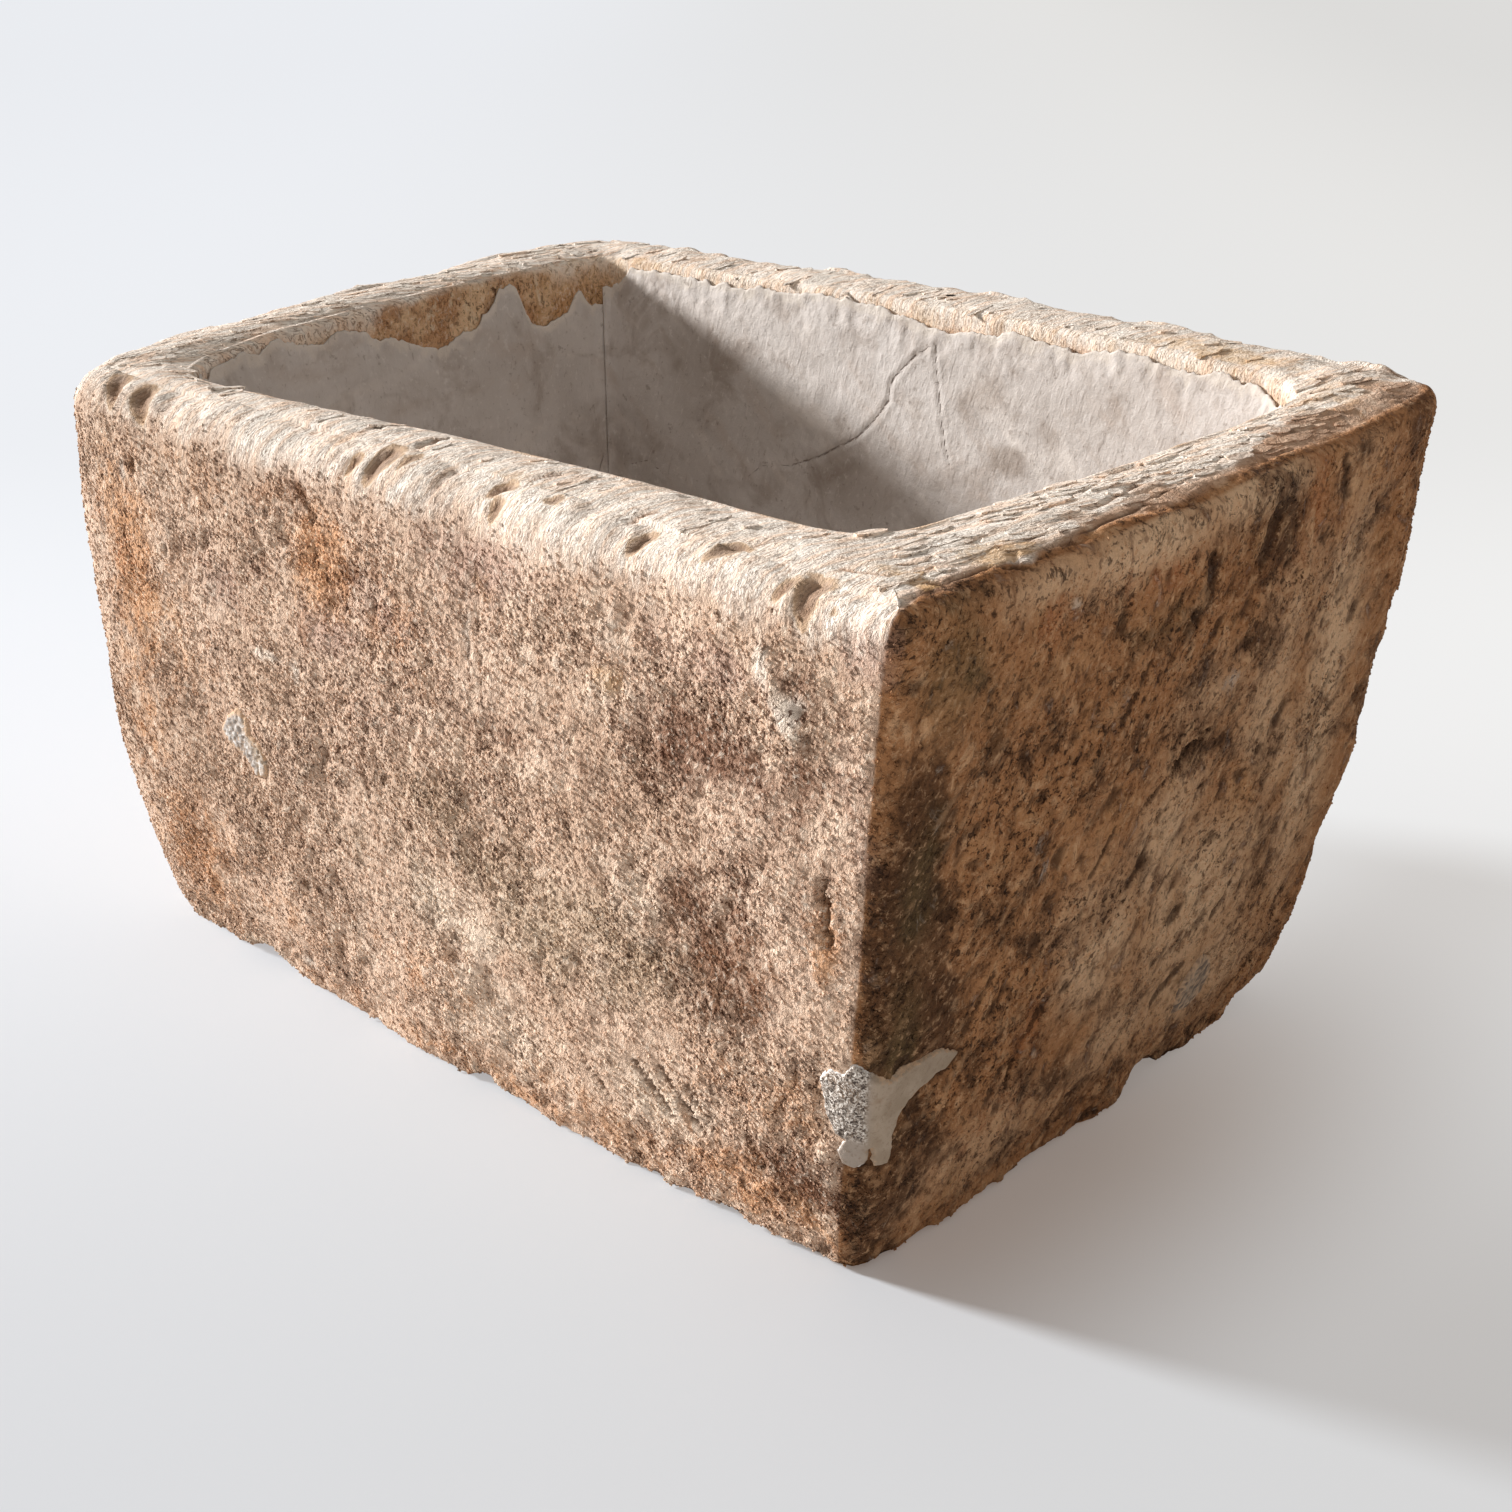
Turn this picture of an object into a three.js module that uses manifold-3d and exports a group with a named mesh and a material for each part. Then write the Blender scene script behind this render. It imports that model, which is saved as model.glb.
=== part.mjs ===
// Old stone trough kept as a planter: one hewn block, a basin lined with cement render, and mortar repairs.
// Millimetres, +Z up. The long sides run along X, the sunlit front faces -Y and the right end faces +X.
import * as THREE from "three";
import { mergeVertices } from "three/addons/utils/BufferGeometryUtils.js";
import Module from "manifold-3d";

const wasm = await Module();
wasm.setup();

// Block
const LENGTH = 632;
const WIDTH = 436;
const HEIGHT = 356;
const TAPER = 38; // how far each side leans in from the rim to the base
const BELLY = 14; // how far a corner swells past a straight lean
const STRAY = 20; // how far the hewn corners stray from a true rectangle
const BOW = 10; // how far a side may bow out between its corners
const HEW_DEPTH = 1.6; // long shallow waves left by the pick
const HEW_WAVE = 118;

// Rim
const WALL = 57;
const RIM_WEAR = 20; // deepest dip of the worn rim
const RIM_CROWN = 2; // how far the middle of the rim stands over its edges
const OUTER_ARRIS = 24; // the most rounded outer edge of the rim
const INNER_ARRIS = 5;
const GOUGE_WIDTH = 22; // the largest pick gouge in the outer edge of the rim
const GOUGE_LENGTH = 46;
const GOUGE_DEPTH = 8;
const GOUGE_LEAN = -Math.PI / 5; // tipped inwards over the rounded edge

// Foot
const FOOT_RISE = 9; // highest lift of the broken bottom edge
const FOOT_BREAK = 12; // how far the resting face lies inside the broken edge
const SPALL_LENGTH = 46; // the largest flake lost from the bottom edge
const SPALL_HEIGHT = 20;
const SPALL_DEPTH = 11;

// Basin
const FLOOR = 64; // stone under the basin
const BASIN_TAPER = 20;
const DRAIN_DIAMETER = 26;
const DRAIN_SETBACK = 40; // from the middle of the basin towards the left end

// Cement render
const SCREED = 14;
const RENDER = 9; // coat at its foot
const RENDER_EDGE = 3; // coat at its ragged top edge
const RENDER_DROP = 44; // lowest dip of that edge under the rim
const BOND_GAP = 0.4; // hairline between a coat and the stone
const SHRINK_GAP = 0.4; // hairline where two coats meet in a corner

// Mortar repairs
const MORTAR_DEPTH = 9;
const MORTAR_PROUD = 1.2;
const MORTAR_GAP = 0.4;
const PATCH_WIDTH_FRONT = 25; // corner repair, measured along the front from the corner
const PATCH_WIDTH_END = 56; // and along the end
const PATCH_HEIGHT = 62;
const PATCH_BASE = 64; // lowest point over the ground
const FRONT_FILL_WIDTH = 30;
const FRONT_FILL_HEIGHT = 36;
const FRONT_FILL_FROM_CORNER = 121; // from the left front corner to its left side
const FRONT_FILL_MIDDLE = 156; // height of its middle over the ground
const END_FILL_WIDTH = 34;
const END_FILL_HEIGHT = 30;
const END_FILL_FROM_CORNER = 113; // from the right back corner to its far side
const END_FILL_MIDDLE = 53;

// Fineness
const HALF_ARC_STEPS = 2; // steps over half a corner
const LONG_SIDE_STEPS = 18;
const SHORT_SIDE_STEPS = 13;
const COAT_ROWS = 4;
const DRAIN_SIDES = 24;
const GOUGE_SIDES = 8;
const GOUGE_RINGS = 6;
const OVERRUN = 30; // how far a cutting shape runs past what it cuts

// Corner tables run left front, right front, right back, left back.
const CORNER_SIGNS = [[-1, -1], [1, -1], [1, 1], [-1, 1]];
const rimStrayShares = [[1.0, 0.35], [-0.35, 0.3], [0.25, 0.3], [0.05, -0.1]];
const baseStrayShares = [[-0.6, -0.35], [-0.55, -0.2], [-0.3, -0.4], [0.2, 0.0]];
const basinStrayShares = [[-0.4, -0.75], [-0.55, 0.35], [0.3, 0.2], [0.1, 0.5]];
const bellyShares = [0.95, 0.2, 0.7, 0.6];
const BELLY_SKEW = 0.7; // below 1 the swelling sits in the lower half
const CORNER_RADIUS = 46; // the roundest outer corner at the rim
const rimRadiusShares = [0.8, 0.3, 0.95, 0.9];
const baseRadiusShares = [1.0, 0.45, 0.9, 1.0];
const BASIN_RADIUS = 34;
const basinRadiusShares = [1.3, 0.9, 1.3, 0.55];
// Side tables run front, right end, back, left end.
const rimBowShares = [-0.5, 0.3, 0.2, 0.2];
const baseBowShares = [0.7, 0.2, 0.2, 0.2];
const basinBowShares = [-0.7, 0, 0.3, 0.4];
// Stations run once round the block from the left front corner, along the front first.
const rimDipShares = [
  0.8, 0.79, 0.65, 0.55, 0.44, 0.44, 0.5, 0.4, 0.2, 0.05, 0.05, 0.25, 0.4, 0.35, 0.4, 0.5,
];
const outerArrisShares = [0.85, 0.9, 0.55, 0.5, 0.35, 0.3, 0.4, 0.45];
const footRiseShares = [
  0.3, 0.2, 0.75, 0.2, 0.1, 0.3, 0.15, 0.35, 0.1, 0.2, 0.45, 0.2, 0.3, 0.5, 0.2, 0.7,
  0.9, 0.4, 0.2, 0.5, 0.3, 0.6, 0.2, 0.4, 0.5, 0.3, 0.6, 0.2, 0.4, 0.2, 0.5, 0.4,
];
// Top edge of each coat below the rim, from where its wall starts to where it ends.
const renderDropShares = {
  front: [0, 0.3, 0.2, 0.4, 0.25, 0.35, 0.2, 0.25],
  right_end: [0.25, 0.2, 0.35, 0.25, 0.45, 0.3, 0.1],
  back: [0.1, 0, 0.25, 0, 0.03, 0.2, 0.3, 0.1, 0, 0, 0.05, 0.15, 0.1],
  left_end: [0.8, 0.72, 0.8, 0.8, 0.7, 0.08, 0.45, 0.75, 0.75, 0.66, 0.42, 0.2, 0.32, 0.24, 0.05, 0, 0],
};
const WALLS = ["front", "right_end", "back", "left_end"];
// Pick gouges on the outer edge of the rim: station, then shares of width and length.
const gougeShares = [
  [0.2, 0.6, 0.9], [0.33, 0.65, 1], [0.96, 0.45, 0.6], [1.02, 0.7, 0.8], [1.09, 0.5, 0.6],
  [1.31, 0.55, 0.6], [1.43, 0.6, 0.4], [1.61, 0.7, 0.7], [1.75, 0.5, 0.5], [1.82, 0.8, 0.9], [1.88, 0.8, 1],
  [4.4, 0.8, 0.8], [4.62, 0.6, 0.9], [5.3, 1, 0.8], [5.9, 0.7, 0.7], [6.7, 0.8, 0.9], [7.4, 0.9, 0.7],
];
// Flakes lost from the bottom edge: station, then shares of length, height and depth.
const spallShares = [
  [0.42, 1.0, 0.6, 0.9], [1.05, 0.5, 0.5, 0.6], [1.62, 0.6, 0.6, 0.8],
  [3.3, 0.9, 0.8, 0.8], [3.85, 1.0, 1.0, 1.0], [5.2, 0.9, 0.7, 0.8], [6.2, 1.0, 0.9, 0.9],
];

// Value at a station, 0 to 8 round the block, blended smoothly between evenly spaced table entries.
const STATIONS = 8;
function around(shares, station) {
  const place = ((station / STATIONS) * shares.length + shares.length) % shares.length;
  const first = Math.floor(place);
  const blend = (1 - Math.cos(Math.PI * (place - first))) / 2;
  return THREE.MathUtils.lerp(shares[first % shares.length], shares[(first + 1) % shares.length], blend);
}

// Value at a share of the way along an open table.
function along(shares, share) {
  const place = share * (shares.length - 1);
  const first = Math.min(Math.floor(place), shares.length - 2);
  return THREE.MathUtils.lerp(shares[first], shares[first + 1], place - first);
}

// Closed outline of a hewn four-sided ring. It starts in the middle of the left front corner.
function outline(corners, radii, bows) {
  const points = [];
  for (let side = 0; side < 4; side++) {
    const from = corners[side];
    const to = corners[(side + 1) % 4];
    const before = corners[(side + 3) % 4];
    const after = corners[(side + 2) % 4];
    const run = to.clone().sub(from).normalize();
    const outward = new THREE.Vector2(run.y, -run.x);
    const leave = from.clone().addScaledVector(run, radii[side]);
    const arrive = to.clone().addScaledVector(run, -radii[(side + 1) % 4]);
    const entry = from.clone().add(before.clone().sub(from).setLength(radii[side]));
    const exit = to.clone().add(after.clone().sub(to).setLength(radii[(side + 1) % 4]));
    const first = new THREE.QuadraticBezierCurve(entry, from, leave);
    const last = new THREE.QuadraticBezierCurve(arrive, to, exit);
    for (let i = 0; i < HALF_ARC_STEPS; i++) {
      points.push(first.getPoint((1 + i / HALF_ARC_STEPS) / 2));
    }
    const steps = sideSteps(side);
    for (let i = 0; i <= steps; i++) {
      const t = i / steps;
      points.push(leave.clone().lerp(arrive, t).addScaledVector(outward, bows[side] * 4 * t * (1 - t)));
    }
    for (let i = 1; i < HALF_ARC_STEPS; i++) {
      points.push(last.getPoint(i / HALF_ARC_STEPS / 2));
    }
  }
  return points;
}

function sideSteps(side) {
  return side % 2 === 0 ? LONG_SIDE_STEPS : SHORT_SIDE_STEPS;
}

// Column numbers where each side's stretch begins, and the station of every column.
const sideStart = [0];
const stations = [];
for (let side = 0; side < 4; side++) {
  const columns = sideSteps(side) + 2 * HALF_ARC_STEPS;
  sideStart.push(sideStart[side] + columns);
  for (let i = 0; i < columns; i++) stations.push(2 * side + (2 * i) / columns);
}
const COLUMNS = stations.length;

function cornerRing(halfLength, halfWidth, strayShares) {
  return CORNER_SIGNS.map(([sx, sy], i) => new THREE.Vector2(
    sx * halfLength + STRAY * strayShares[i][0],
    sy * halfWidth + STRAY * strayShares[i][1],
  ));
}

const rimCorners = cornerRing(LENGTH / 2, WIDTH / 2, rimStrayShares);
const baseCorners = cornerRing(LENGTH / 2 - TAPER, WIDTH / 2 - TAPER, baseStrayShares);
const basinCorners = cornerRing(0, 0, basinStrayShares).map((stray, i) => new THREE.Vector2(
  rimCorners[i].x - CORNER_SIGNS[i][0] * WALL + stray.x,
  rimCorners[i].y - CORNER_SIGNS[i][1] * WALL + stray.y,
));
const floorCorners = basinCorners.map((p, i) => new THREE.Vector2(
  p.x - CORNER_SIGNS[i][0] * BASIN_TAPER,
  p.y - CORNER_SIGNS[i][1] * BASIN_TAPER,
));

// Outline of the block's outside at a height, grown outwards by an offset.
function outsideAt(height, offset) {
  const share = height / HEIGHT;
  const swell = Math.sin(Math.PI * share ** BELLY_SKEW);
  const corners = baseCorners.map((p, i) => {
    const corner = p.clone().lerp(rimCorners[i], share);
    const push = BELLY * bellyShares[i] * swell + offset;
    return corner.add(new THREE.Vector2(CORNER_SIGNS[i][0], CORNER_SIGNS[i][1]).multiplyScalar(push));
  });
  const mix = (base, rim, i) => THREE.MathUtils.lerp(base[i], rim[i], share);
  const radii = corners.map((_, i) => CORNER_RADIUS * mix(baseRadiusShares, rimRadiusShares, i));
  const bows = WALLS.map((_, i) => BOW * mix(baseBowShares, rimBowShares, i));
  return outline(corners, radii, bows);
}

// Outline of the basin's wall at a height: a straight run from the floor to the rim.
const basinRim = outline(
  basinCorners,
  basinRadiusShares.map((share) => BASIN_RADIUS * share),
  basinBowShares.map((share) => BOW * share),
);
const basinFloor = outline(
  floorCorners,
  basinRadiusShares.map((share) => BASIN_RADIUS * share),
  basinBowShares.map((share) => BOW * share),
);
function basinPoint(column, height) {
  const share = (height - FLOOR) / (HEIGHT - FLOOR);
  return basinFloor[column % COLUMNS].clone().lerp(basinRim[column % COLUMNS], share);
}

const rimHeights = stations.map((station) => HEIGHT - RIM_WEAR * around(rimDipShares, station));

// Shallow waves of the hewn faces, in and out.
function hewWave(x, y, z) {
  const turn = (2 * Math.PI) / HEW_WAVE;
  return HEW_DEPTH * Math.sin(turn * (x + z / 2)) * Math.cos(turn * (y - z / 2));
}

// Unit vector out of an outline in plan, at one of its points.
function outwardAt(points, column) {
  const n = points.length;
  const ahead = points[(column + 1) % n].clone().sub(points[(column + n - 1) % n]).normalize();
  return new THREE.Vector2(ahead.y, -ahead.x);
}

// Closed geometry from rings of equal count, listed from the first pole outwards and on to the last pole.
function loft(rings, firstPole, lastPole) {
  const n = rings[0].length;
  const vertices = [firstPole, ...rings.flat(), lastPole];
  const at = (ring, column) => 1 + ring * n + (column % n);
  const triangles = [];
  for (let i = 0; i < n; i++) {
    triangles.push(0, at(0, i + 1), at(0, i));
    for (let ring = 0; ring + 1 < rings.length; ring++) {
      triangles.push(at(ring, i), at(ring, i + 1), at(ring + 1, i + 1));
      triangles.push(at(ring, i), at(ring + 1, i + 1), at(ring + 1, i));
    }
    triangles.push(vertices.length - 1, at(rings.length - 1, i), at(rings.length - 1, i + 1));
  }
  return new THREE.BufferGeometry().setFromPoints(vertices).setIndex(triangles);
}

// Ring of the outside at a height, which may be given for each column.
function outsideRing(heightOf, offset) {
  const flat = outsideAt(heightOf(0), offset);
  return flat.map((_, i) => {
    const height = heightOf(i);
    const level = outsideAt(height, offset);
    const out = outwardAt(level, i);
    const wave = hewWave(level[i].x, level[i].y, height);
    return new THREE.Vector3(level[i].x + out.x * wave, level[i].y + out.y * wave, height);
  });
}

function centreOf(ring) {
  const sum = ring.reduce((total, p) => total.add(p), new THREE.Vector3());
  return sum.divideScalar(ring.length);
}

// The hewn block with its worn rim, broken foot and open basin, before gouges and pockets are cut.
const wallLevelShares = [0.07, 0.16, 0.27, 0.4, 0.54, 0.68, 0.81];
const arrisTurnShares = [0, 1 / 3, 2 / 3, 1];
const basinLevelShares = [2 / 3, 1 / 3, 0];
function blockGeometry() {
  const footHeights = stations.map((station) => FOOT_RISE * around(footRiseShares, station));
  const arrisRadii = stations.map((station) => OUTER_ARRIS * around(outerArrisShares, station));
  const foot = outsideRing((i) => footHeights[i], 0);
  const resting = foot.map((p, i) => {
    const out = outwardAt(foot, i);
    return new THREE.Vector3(p.x - out.x * FOOT_BREAK, p.y - out.y * FOOT_BREAK, 0);
  });
  const rings = [resting, foot];
  for (const level of wallLevelShares) rings.push(outsideRing(() => HEIGHT * level, 0));

  // Outer edge of the rim: a quarter turn from the wall to the top.
  for (const turn of arrisTurnShares) {
    const angle = (turn * Math.PI) / 2;
    rings.push(stations.map((_, i) => {
      const radius = arrisRadii[i];
      const height = rimHeights[i] - RIM_CROWN - radius * (1 - Math.sin(angle));
      const wall = outsideRing(() => height, 0);
      const out = outwardAt(wall, i);
      const inset = radius * (1 - Math.cos(angle));
      return new THREE.Vector3(wall[i].x - out.x * inset, wall[i].y - out.y * inset, height);
    }));
  }

  // Crown of the rim, then the inner edge of the rim.
  const brow = rings[rings.length - 1];
  const lip = stations.map((_, i) => {
    const p = basinPoint(i, rimHeights[i]);
    const out = outwardAt(basinRim, i);
    p.addScaledVector(out, INNER_ARRIS);
    return new THREE.Vector3(p.x, p.y, rimHeights[i] - RIM_CROWN);
  });
  rings.push(brow.map((p, i) => p.clone().lerp(lip[i], 1 / 2).setZ(rimHeights[i])));
  for (const turn of arrisTurnShares) {
    const angle = (turn * Math.PI) / 2;
    rings.push(lip.map((p, i) => {
      const height = p.z - INNER_ARRIS * (1 - Math.cos(angle));
      const wall = basinPoint(i, height);
      const out = outwardAt(basinRim, i);
      const back = INNER_ARRIS * (1 - Math.sin(angle));
      return new THREE.Vector3(wall.x + out.x * back, wall.y + out.y * back, height);
    }));
  }
  for (const share of basinLevelShares) {
    rings.push(stations.map((_, i) => {
      const height = THREE.MathUtils.lerp(FLOOR, HEIGHT, share * (1 - INNER_ARRIS / HEIGHT));
      const p = basinPoint(i, height);
      return new THREE.Vector3(p.x, p.y, height);
    }));
  }
  return loft(rings, centreOf(resting), centreOf(rings[rings.length - 1]));
}

// The outside as a plain solid, grown or shrunk, for setting repairs into it.
function outsideSolid(offset) {
  const rings = [outsideRing(() => 0, offset)];
  for (const level of [...wallLevelShares, 1]) rings.push(outsideRing(() => HEIGHT * level, offset));
  return solid(loft(rings, centreOf(rings[0]), centreOf(rings[rings.length - 1])));
}

// Conversions between three.js geometry and solids that can be cut and joined.
function solid(geometry) {
  const bare = geometry.clone();
  bare.deleteAttribute("normal");
  bare.deleteAttribute("uv");
  const merged = mergeVertices(bare);
  return new wasm.Manifold(new wasm.Mesh({
    numProp: 3,
    vertProperties: new Float32Array(merged.attributes.position.array),
    triVerts: new Uint32Array(merged.index.array),
  }));
}

function geometryOf(manifold) {
  const mesh = manifold.getMesh();
  const geometry = new THREE.BufferGeometry();
  geometry.setAttribute("position", new THREE.BufferAttribute(new Float32Array(mesh.vertProperties), 3));
  geometry.setIndex(new THREE.BufferAttribute(new Uint32Array(mesh.triVerts), 1));
  geometry.computeVertexNormals();
  return geometry;
}

// A point of the outside at a station and height, with its outward direction in plan.
function outsidePlace(station, height) {
  const place = (station / STATIONS) * COLUMNS;
  const column = Math.floor(place);
  const ring = outsideAt(height, 0);
  const point = ring[column].clone().lerp(ring[(column + 1) % COLUMNS], place - column);
  return { point, out: outwardAt(ring, column) };
}

// A flattened ball laid against the outside: wide along the face, tall up it, shallow into it.
function scoop(place, height, lean, width, tall, deep) {
  const ball = new THREE.SphereGeometry(1, GOUGE_SIDES, GOUGE_RINGS);
  ball.scale(width / 2, deep, tall / 2);
  ball.rotateX(lean);
  ball.rotateZ(Math.atan2(place.out.y, place.out.x) + Math.PI / 2);
  ball.translate(place.point.x, place.point.y, height);
  return solid(ball);
}

function gouges() {
  return gougeShares.map(([station, width, length]) => {
    const rim = HEIGHT - RIM_WEAR * around(rimDipShares, station);
    const arris = OUTER_ARRIS * around(outerArrisShares, station);
    const height = rim - RIM_CROWN - arris / 2;
    const place = outsidePlace(station, height);
    place.point.addScaledVector(place.out, -arris / 4);
    return scoop(place, height, GOUGE_LEAN, GOUGE_WIDTH * width, GOUGE_LENGTH * length, GOUGE_DEPTH);
  });
}

function spalls() {
  return spallShares.map(([station, length, height, depth]) => {
    const place = outsidePlace(station, 0);
    return scoop(place, 0, 0, SPALL_LENGTH * length, 2 * SPALL_HEIGHT * height, SPALL_DEPTH * depth);
  });
}

// Outline moved outwards by the same distance along every edge.
function grownOutline(points, grow) {
  const turned = THREE.ShapeUtils.isClockWise(points) ? [...points].reverse() : points;
  const n = turned.length;
  return turned.map((p, i) => {
    const arrive = p.clone().sub(turned[(i + n - 1) % n]).normalize();
    const leave = turned[(i + 1) % n].clone().sub(p).normalize();
    const mitre = new THREE.Vector2(arrive.y + leave.y, -arrive.x - leave.x);
    return p.clone().addScaledVector(mitre, grow / (1 + arrive.dot(leave)));
  });
}

// Straight-sided prism of a face outline, drawn as seen from outside the face. It runs from outside the
// face at the given place to a reach inside it.
function facePrism(points, side, face, reach, grow) {
  const depth = OVERRUN + reach + grow;
  const shape = new THREE.Shape(grownOutline(points, grow));
  const prism = new THREE.ExtrudeGeometry(shape, { depth, bevelEnabled: false });
  prism.rotateX(Math.PI / 2);
  if (side === "front") prism.translate(0, face + reach + grow, 0);
  else prism.rotateZ(Math.PI / 2).translate(face - reach - grow, 0, 0);
  return solid(prism);
}

function sharedOutline(shares, { left, bottom, width, height }) {
  return shares.map(([u, v]) => new THREE.Vector2(left + width * u, bottom + height * v));
}

// Face outlines of the repairs: across the face to the right, then up it.
const patchFrontShares = [
  [0, 0.55], [0, 0.65], [0.3, 0.86], [0.8, 1], [1.05, 1], [1.2, 0.84], [1.5, 0.84], [1.5, 0], [0.9, 0],
  [0.53, 0.08], [0.53, 0.22], [0.15, 0.33],
];
const patchEndShares = [
  [-0.3, 0], [0.13, 0], [0.2, 0.15], [0.26, 0.31], [0.63, 0.33], [0.88, 0.48], [1, 0.55], [0.92, 0.61],
  [0.2, 0.78], [0.05, 0.84], [-0.3, 0.84],
];
const frontFillShares = [[0, 0.62], [0.2, 1], [0.62, 0.9], [0.7, 0.55], [1, 0.3], [0.85, 0], [0.5, 0.2]];
const endFillShares = [[0, 0.2], [0.35, 0], [0.8, 0.15], [1, 0.6], [0.75, 1], [0.3, 0.8]];

const nearCorner = outsideAt(PATCH_BASE + PATCH_HEIGHT / 2, 0)[sideStart[1]];
const frontFillLeft = baseCorners[0].x + FRONT_FILL_FROM_CORNER;
const endFillLeft = baseCorners[2].y - END_FILL_FROM_CORNER;
const middleColumn = (side) => Math.round((sideStart[side] + sideStart[side + 1]) / 2);
const frontFace = outsideAt(FRONT_FILL_MIDDLE, 0)[middleColumn(0)].y;
const endFace = outsideAt(END_FILL_MIDDLE, 0)[middleColumn(1)].x;
function repairPrisms(grow) {
  const patchReach = MORTAR_DEPTH + MORTAR_PROUD;
  const fillReach = MORTAR_DEPTH + OVERRUN;
  const box = (width, height, left, middle) => ({ width, height, left, bottom: middle - height / 2 });
  const patchMiddle = PATCH_BASE + PATCH_HEIGHT / 2;
  const onFront = box(PATCH_WIDTH_FRONT, PATCH_HEIGHT, nearCorner.x - PATCH_WIDTH_FRONT, patchMiddle);
  const onEnd = box(PATCH_WIDTH_END, PATCH_HEIGHT, nearCorner.y, patchMiddle);
  const frontFill = box(FRONT_FILL_WIDTH, FRONT_FILL_HEIGHT, frontFillLeft, FRONT_FILL_MIDDLE);
  const endFill = box(END_FILL_WIDTH, END_FILL_HEIGHT, endFillLeft, END_FILL_MIDDLE);
  const prism = (shares, area, side, face, reach) =>
    facePrism(sharedOutline(shares, area), side, face, reach, grow);
  const patchOnFront = prism(patchFrontShares, onFront, "front", nearCorner.y, patchReach);
  const patchOnEnd = prism(patchEndShares, onEnd, "end", nearCorner.x, patchReach);
  return {
    corner_repair: patchOnFront.add(patchOnEnd),
    front_fill: prism(frontFillShares, frontFill, "front", frontFace, fillReach),
    end_fill: prism(endFillShares, endFill, "end", endFace, fillReach),
  };
}

// One coat of render on one wall, from the screed to its ragged top edge.
function coatGeometry(side) {
  const first = sideStart[side];
  const columns = sideStart[side + 1] - first;
  const drops = renderDropShares[WALLS[side]];
  const foot = FLOOR + BOND_GAP + SCREED + BOND_GAP;
  const back = [];
  const face = [];
  for (let row = 0; row <= COAT_ROWS; row++) {
    for (let i = 0; i <= columns; i++) {
      const lip = rimHeights[(first + i) % COLUMNS] - RIM_CROWN - INNER_ARRIS / 2;
      const top = lip - RENDER_DROP * along(drops, i / columns);
      const height = THREE.MathUtils.lerp(foot, top, row / COAT_ROWS);
      const wall = basinPoint(first + i, height);
      const out = outwardAt(basinRim, (first + i) % COLUMNS);
      const tangent = new THREE.Vector2(-out.y, out.x);
      const shrink = SHRINK_GAP * (i === 0 ? 1 : i === columns ? -1 : 0);
      const thickness = THREE.MathUtils.lerp(RENDER, RENDER_EDGE, row / COAT_ROWS);
      const place = (depth) => new THREE.Vector3(
        wall.x - out.x * depth + tangent.x * shrink,
        wall.y - out.y * depth + tangent.y * shrink,
        height,
      );
      back.push(place(BOND_GAP));
      face.push(place(BOND_GAP + thickness));
    }
  }
  return slabGeometry(back, face, columns + 1, COAT_ROWS + 1);
}

// Closed slab between two grids of points, the back one against the wall and the face towards the basin.
function slabGeometry(back, face, across, up) {
  const offset = back.length;
  const triangles = [];
  const quad = (a, b, c, d) => triangles.push(a, b, c, a, c, d);
  const at = (row, i) => row * across + i;
  for (let row = 0; row + 1 < up; row++) {
    for (let i = 0; i + 1 < across; i++) {
      quad(at(row, i), at(row, i + 1), at(row + 1, i + 1), at(row + 1, i));
      quad(
        offset + at(row, i),
        offset + at(row + 1, i),
        offset + at(row + 1, i + 1),
        offset + at(row, i + 1),
      );
    }
  }
  const rimLoop = [];
  for (let i = 0; i + 1 < across; i++) rimLoop.push(at(0, i));
  for (let row = 0; row + 1 < up; row++) rimLoop.push(at(row, across - 1));
  for (let i = across - 1; i > 0; i--) rimLoop.push(at(up - 1, i));
  for (let row = up - 1; row > 0; row--) rimLoop.push(at(row, 0));
  rimLoop.forEach((a, k) => {
    const b = rimLoop[(k + 1) % rimLoop.length];
    quad(b, a, offset + a, offset + b);
  });
  return new THREE.BufferGeometry().setFromPoints([...back, ...face]).setIndex(triangles);
}

function screedGeometry() {
  const bottom = FLOOR + BOND_GAP;
  const top = bottom + SCREED;
  const ring = (height) => stations.map((_, i) => {
    const wall = basinPoint(i, height);
    const out = outwardAt(basinRim, i);
    return new THREE.Vector3(wall.x - out.x * BOND_GAP, wall.y - out.y * BOND_GAP, height);
  });
  const rings = [ring(bottom), ring(top)];
  return loft(rings, centreOf(rings[0]), centreOf(rings[1]));
}

function drainBore() {
  const tall = FLOOR + BOND_GAP + SCREED + 2 * OVERRUN;
  const bore = new THREE.CylinderGeometry(DRAIN_DIAMETER / 2, DRAIN_DIAMETER / 2, tall, DRAIN_SIDES);
  bore.rotateX(Math.PI / 2).translate(-DRAIN_SETBACK, 0, tall / 2 - OVERRUN);
  return solid(bore);
}

const stoneMaterial = new THREE.MeshStandardMaterial({ color: 0xb59476, roughness: 0.95, metalness: 0 });
const renderMaterial = new THREE.MeshStandardMaterial({ color: 0xa39a92, roughness: 0.85, metalness: 0 });
const mortarMaterial = new THREE.MeshStandardMaterial({ color: 0x9a9691, roughness: 0.9, metalness: 0 });

const trough = new THREE.Group();
function piece(name, geometry, material) {
  const mesh = new THREE.Mesh(geometry, material);
  mesh.name = name;
  trough.add(mesh);
}

const bore = drainBore();
const repairs = repairPrisms(0);
const pockets = repairPrisms(MORTAR_GAP);
const proudSolid = outsideSolid(MORTAR_PROUD);
const bedSolid = outsideSolid(-MORTAR_DEPTH);
const pocketBed = outsideSolid(-MORTAR_DEPTH - MORTAR_GAP);

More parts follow.
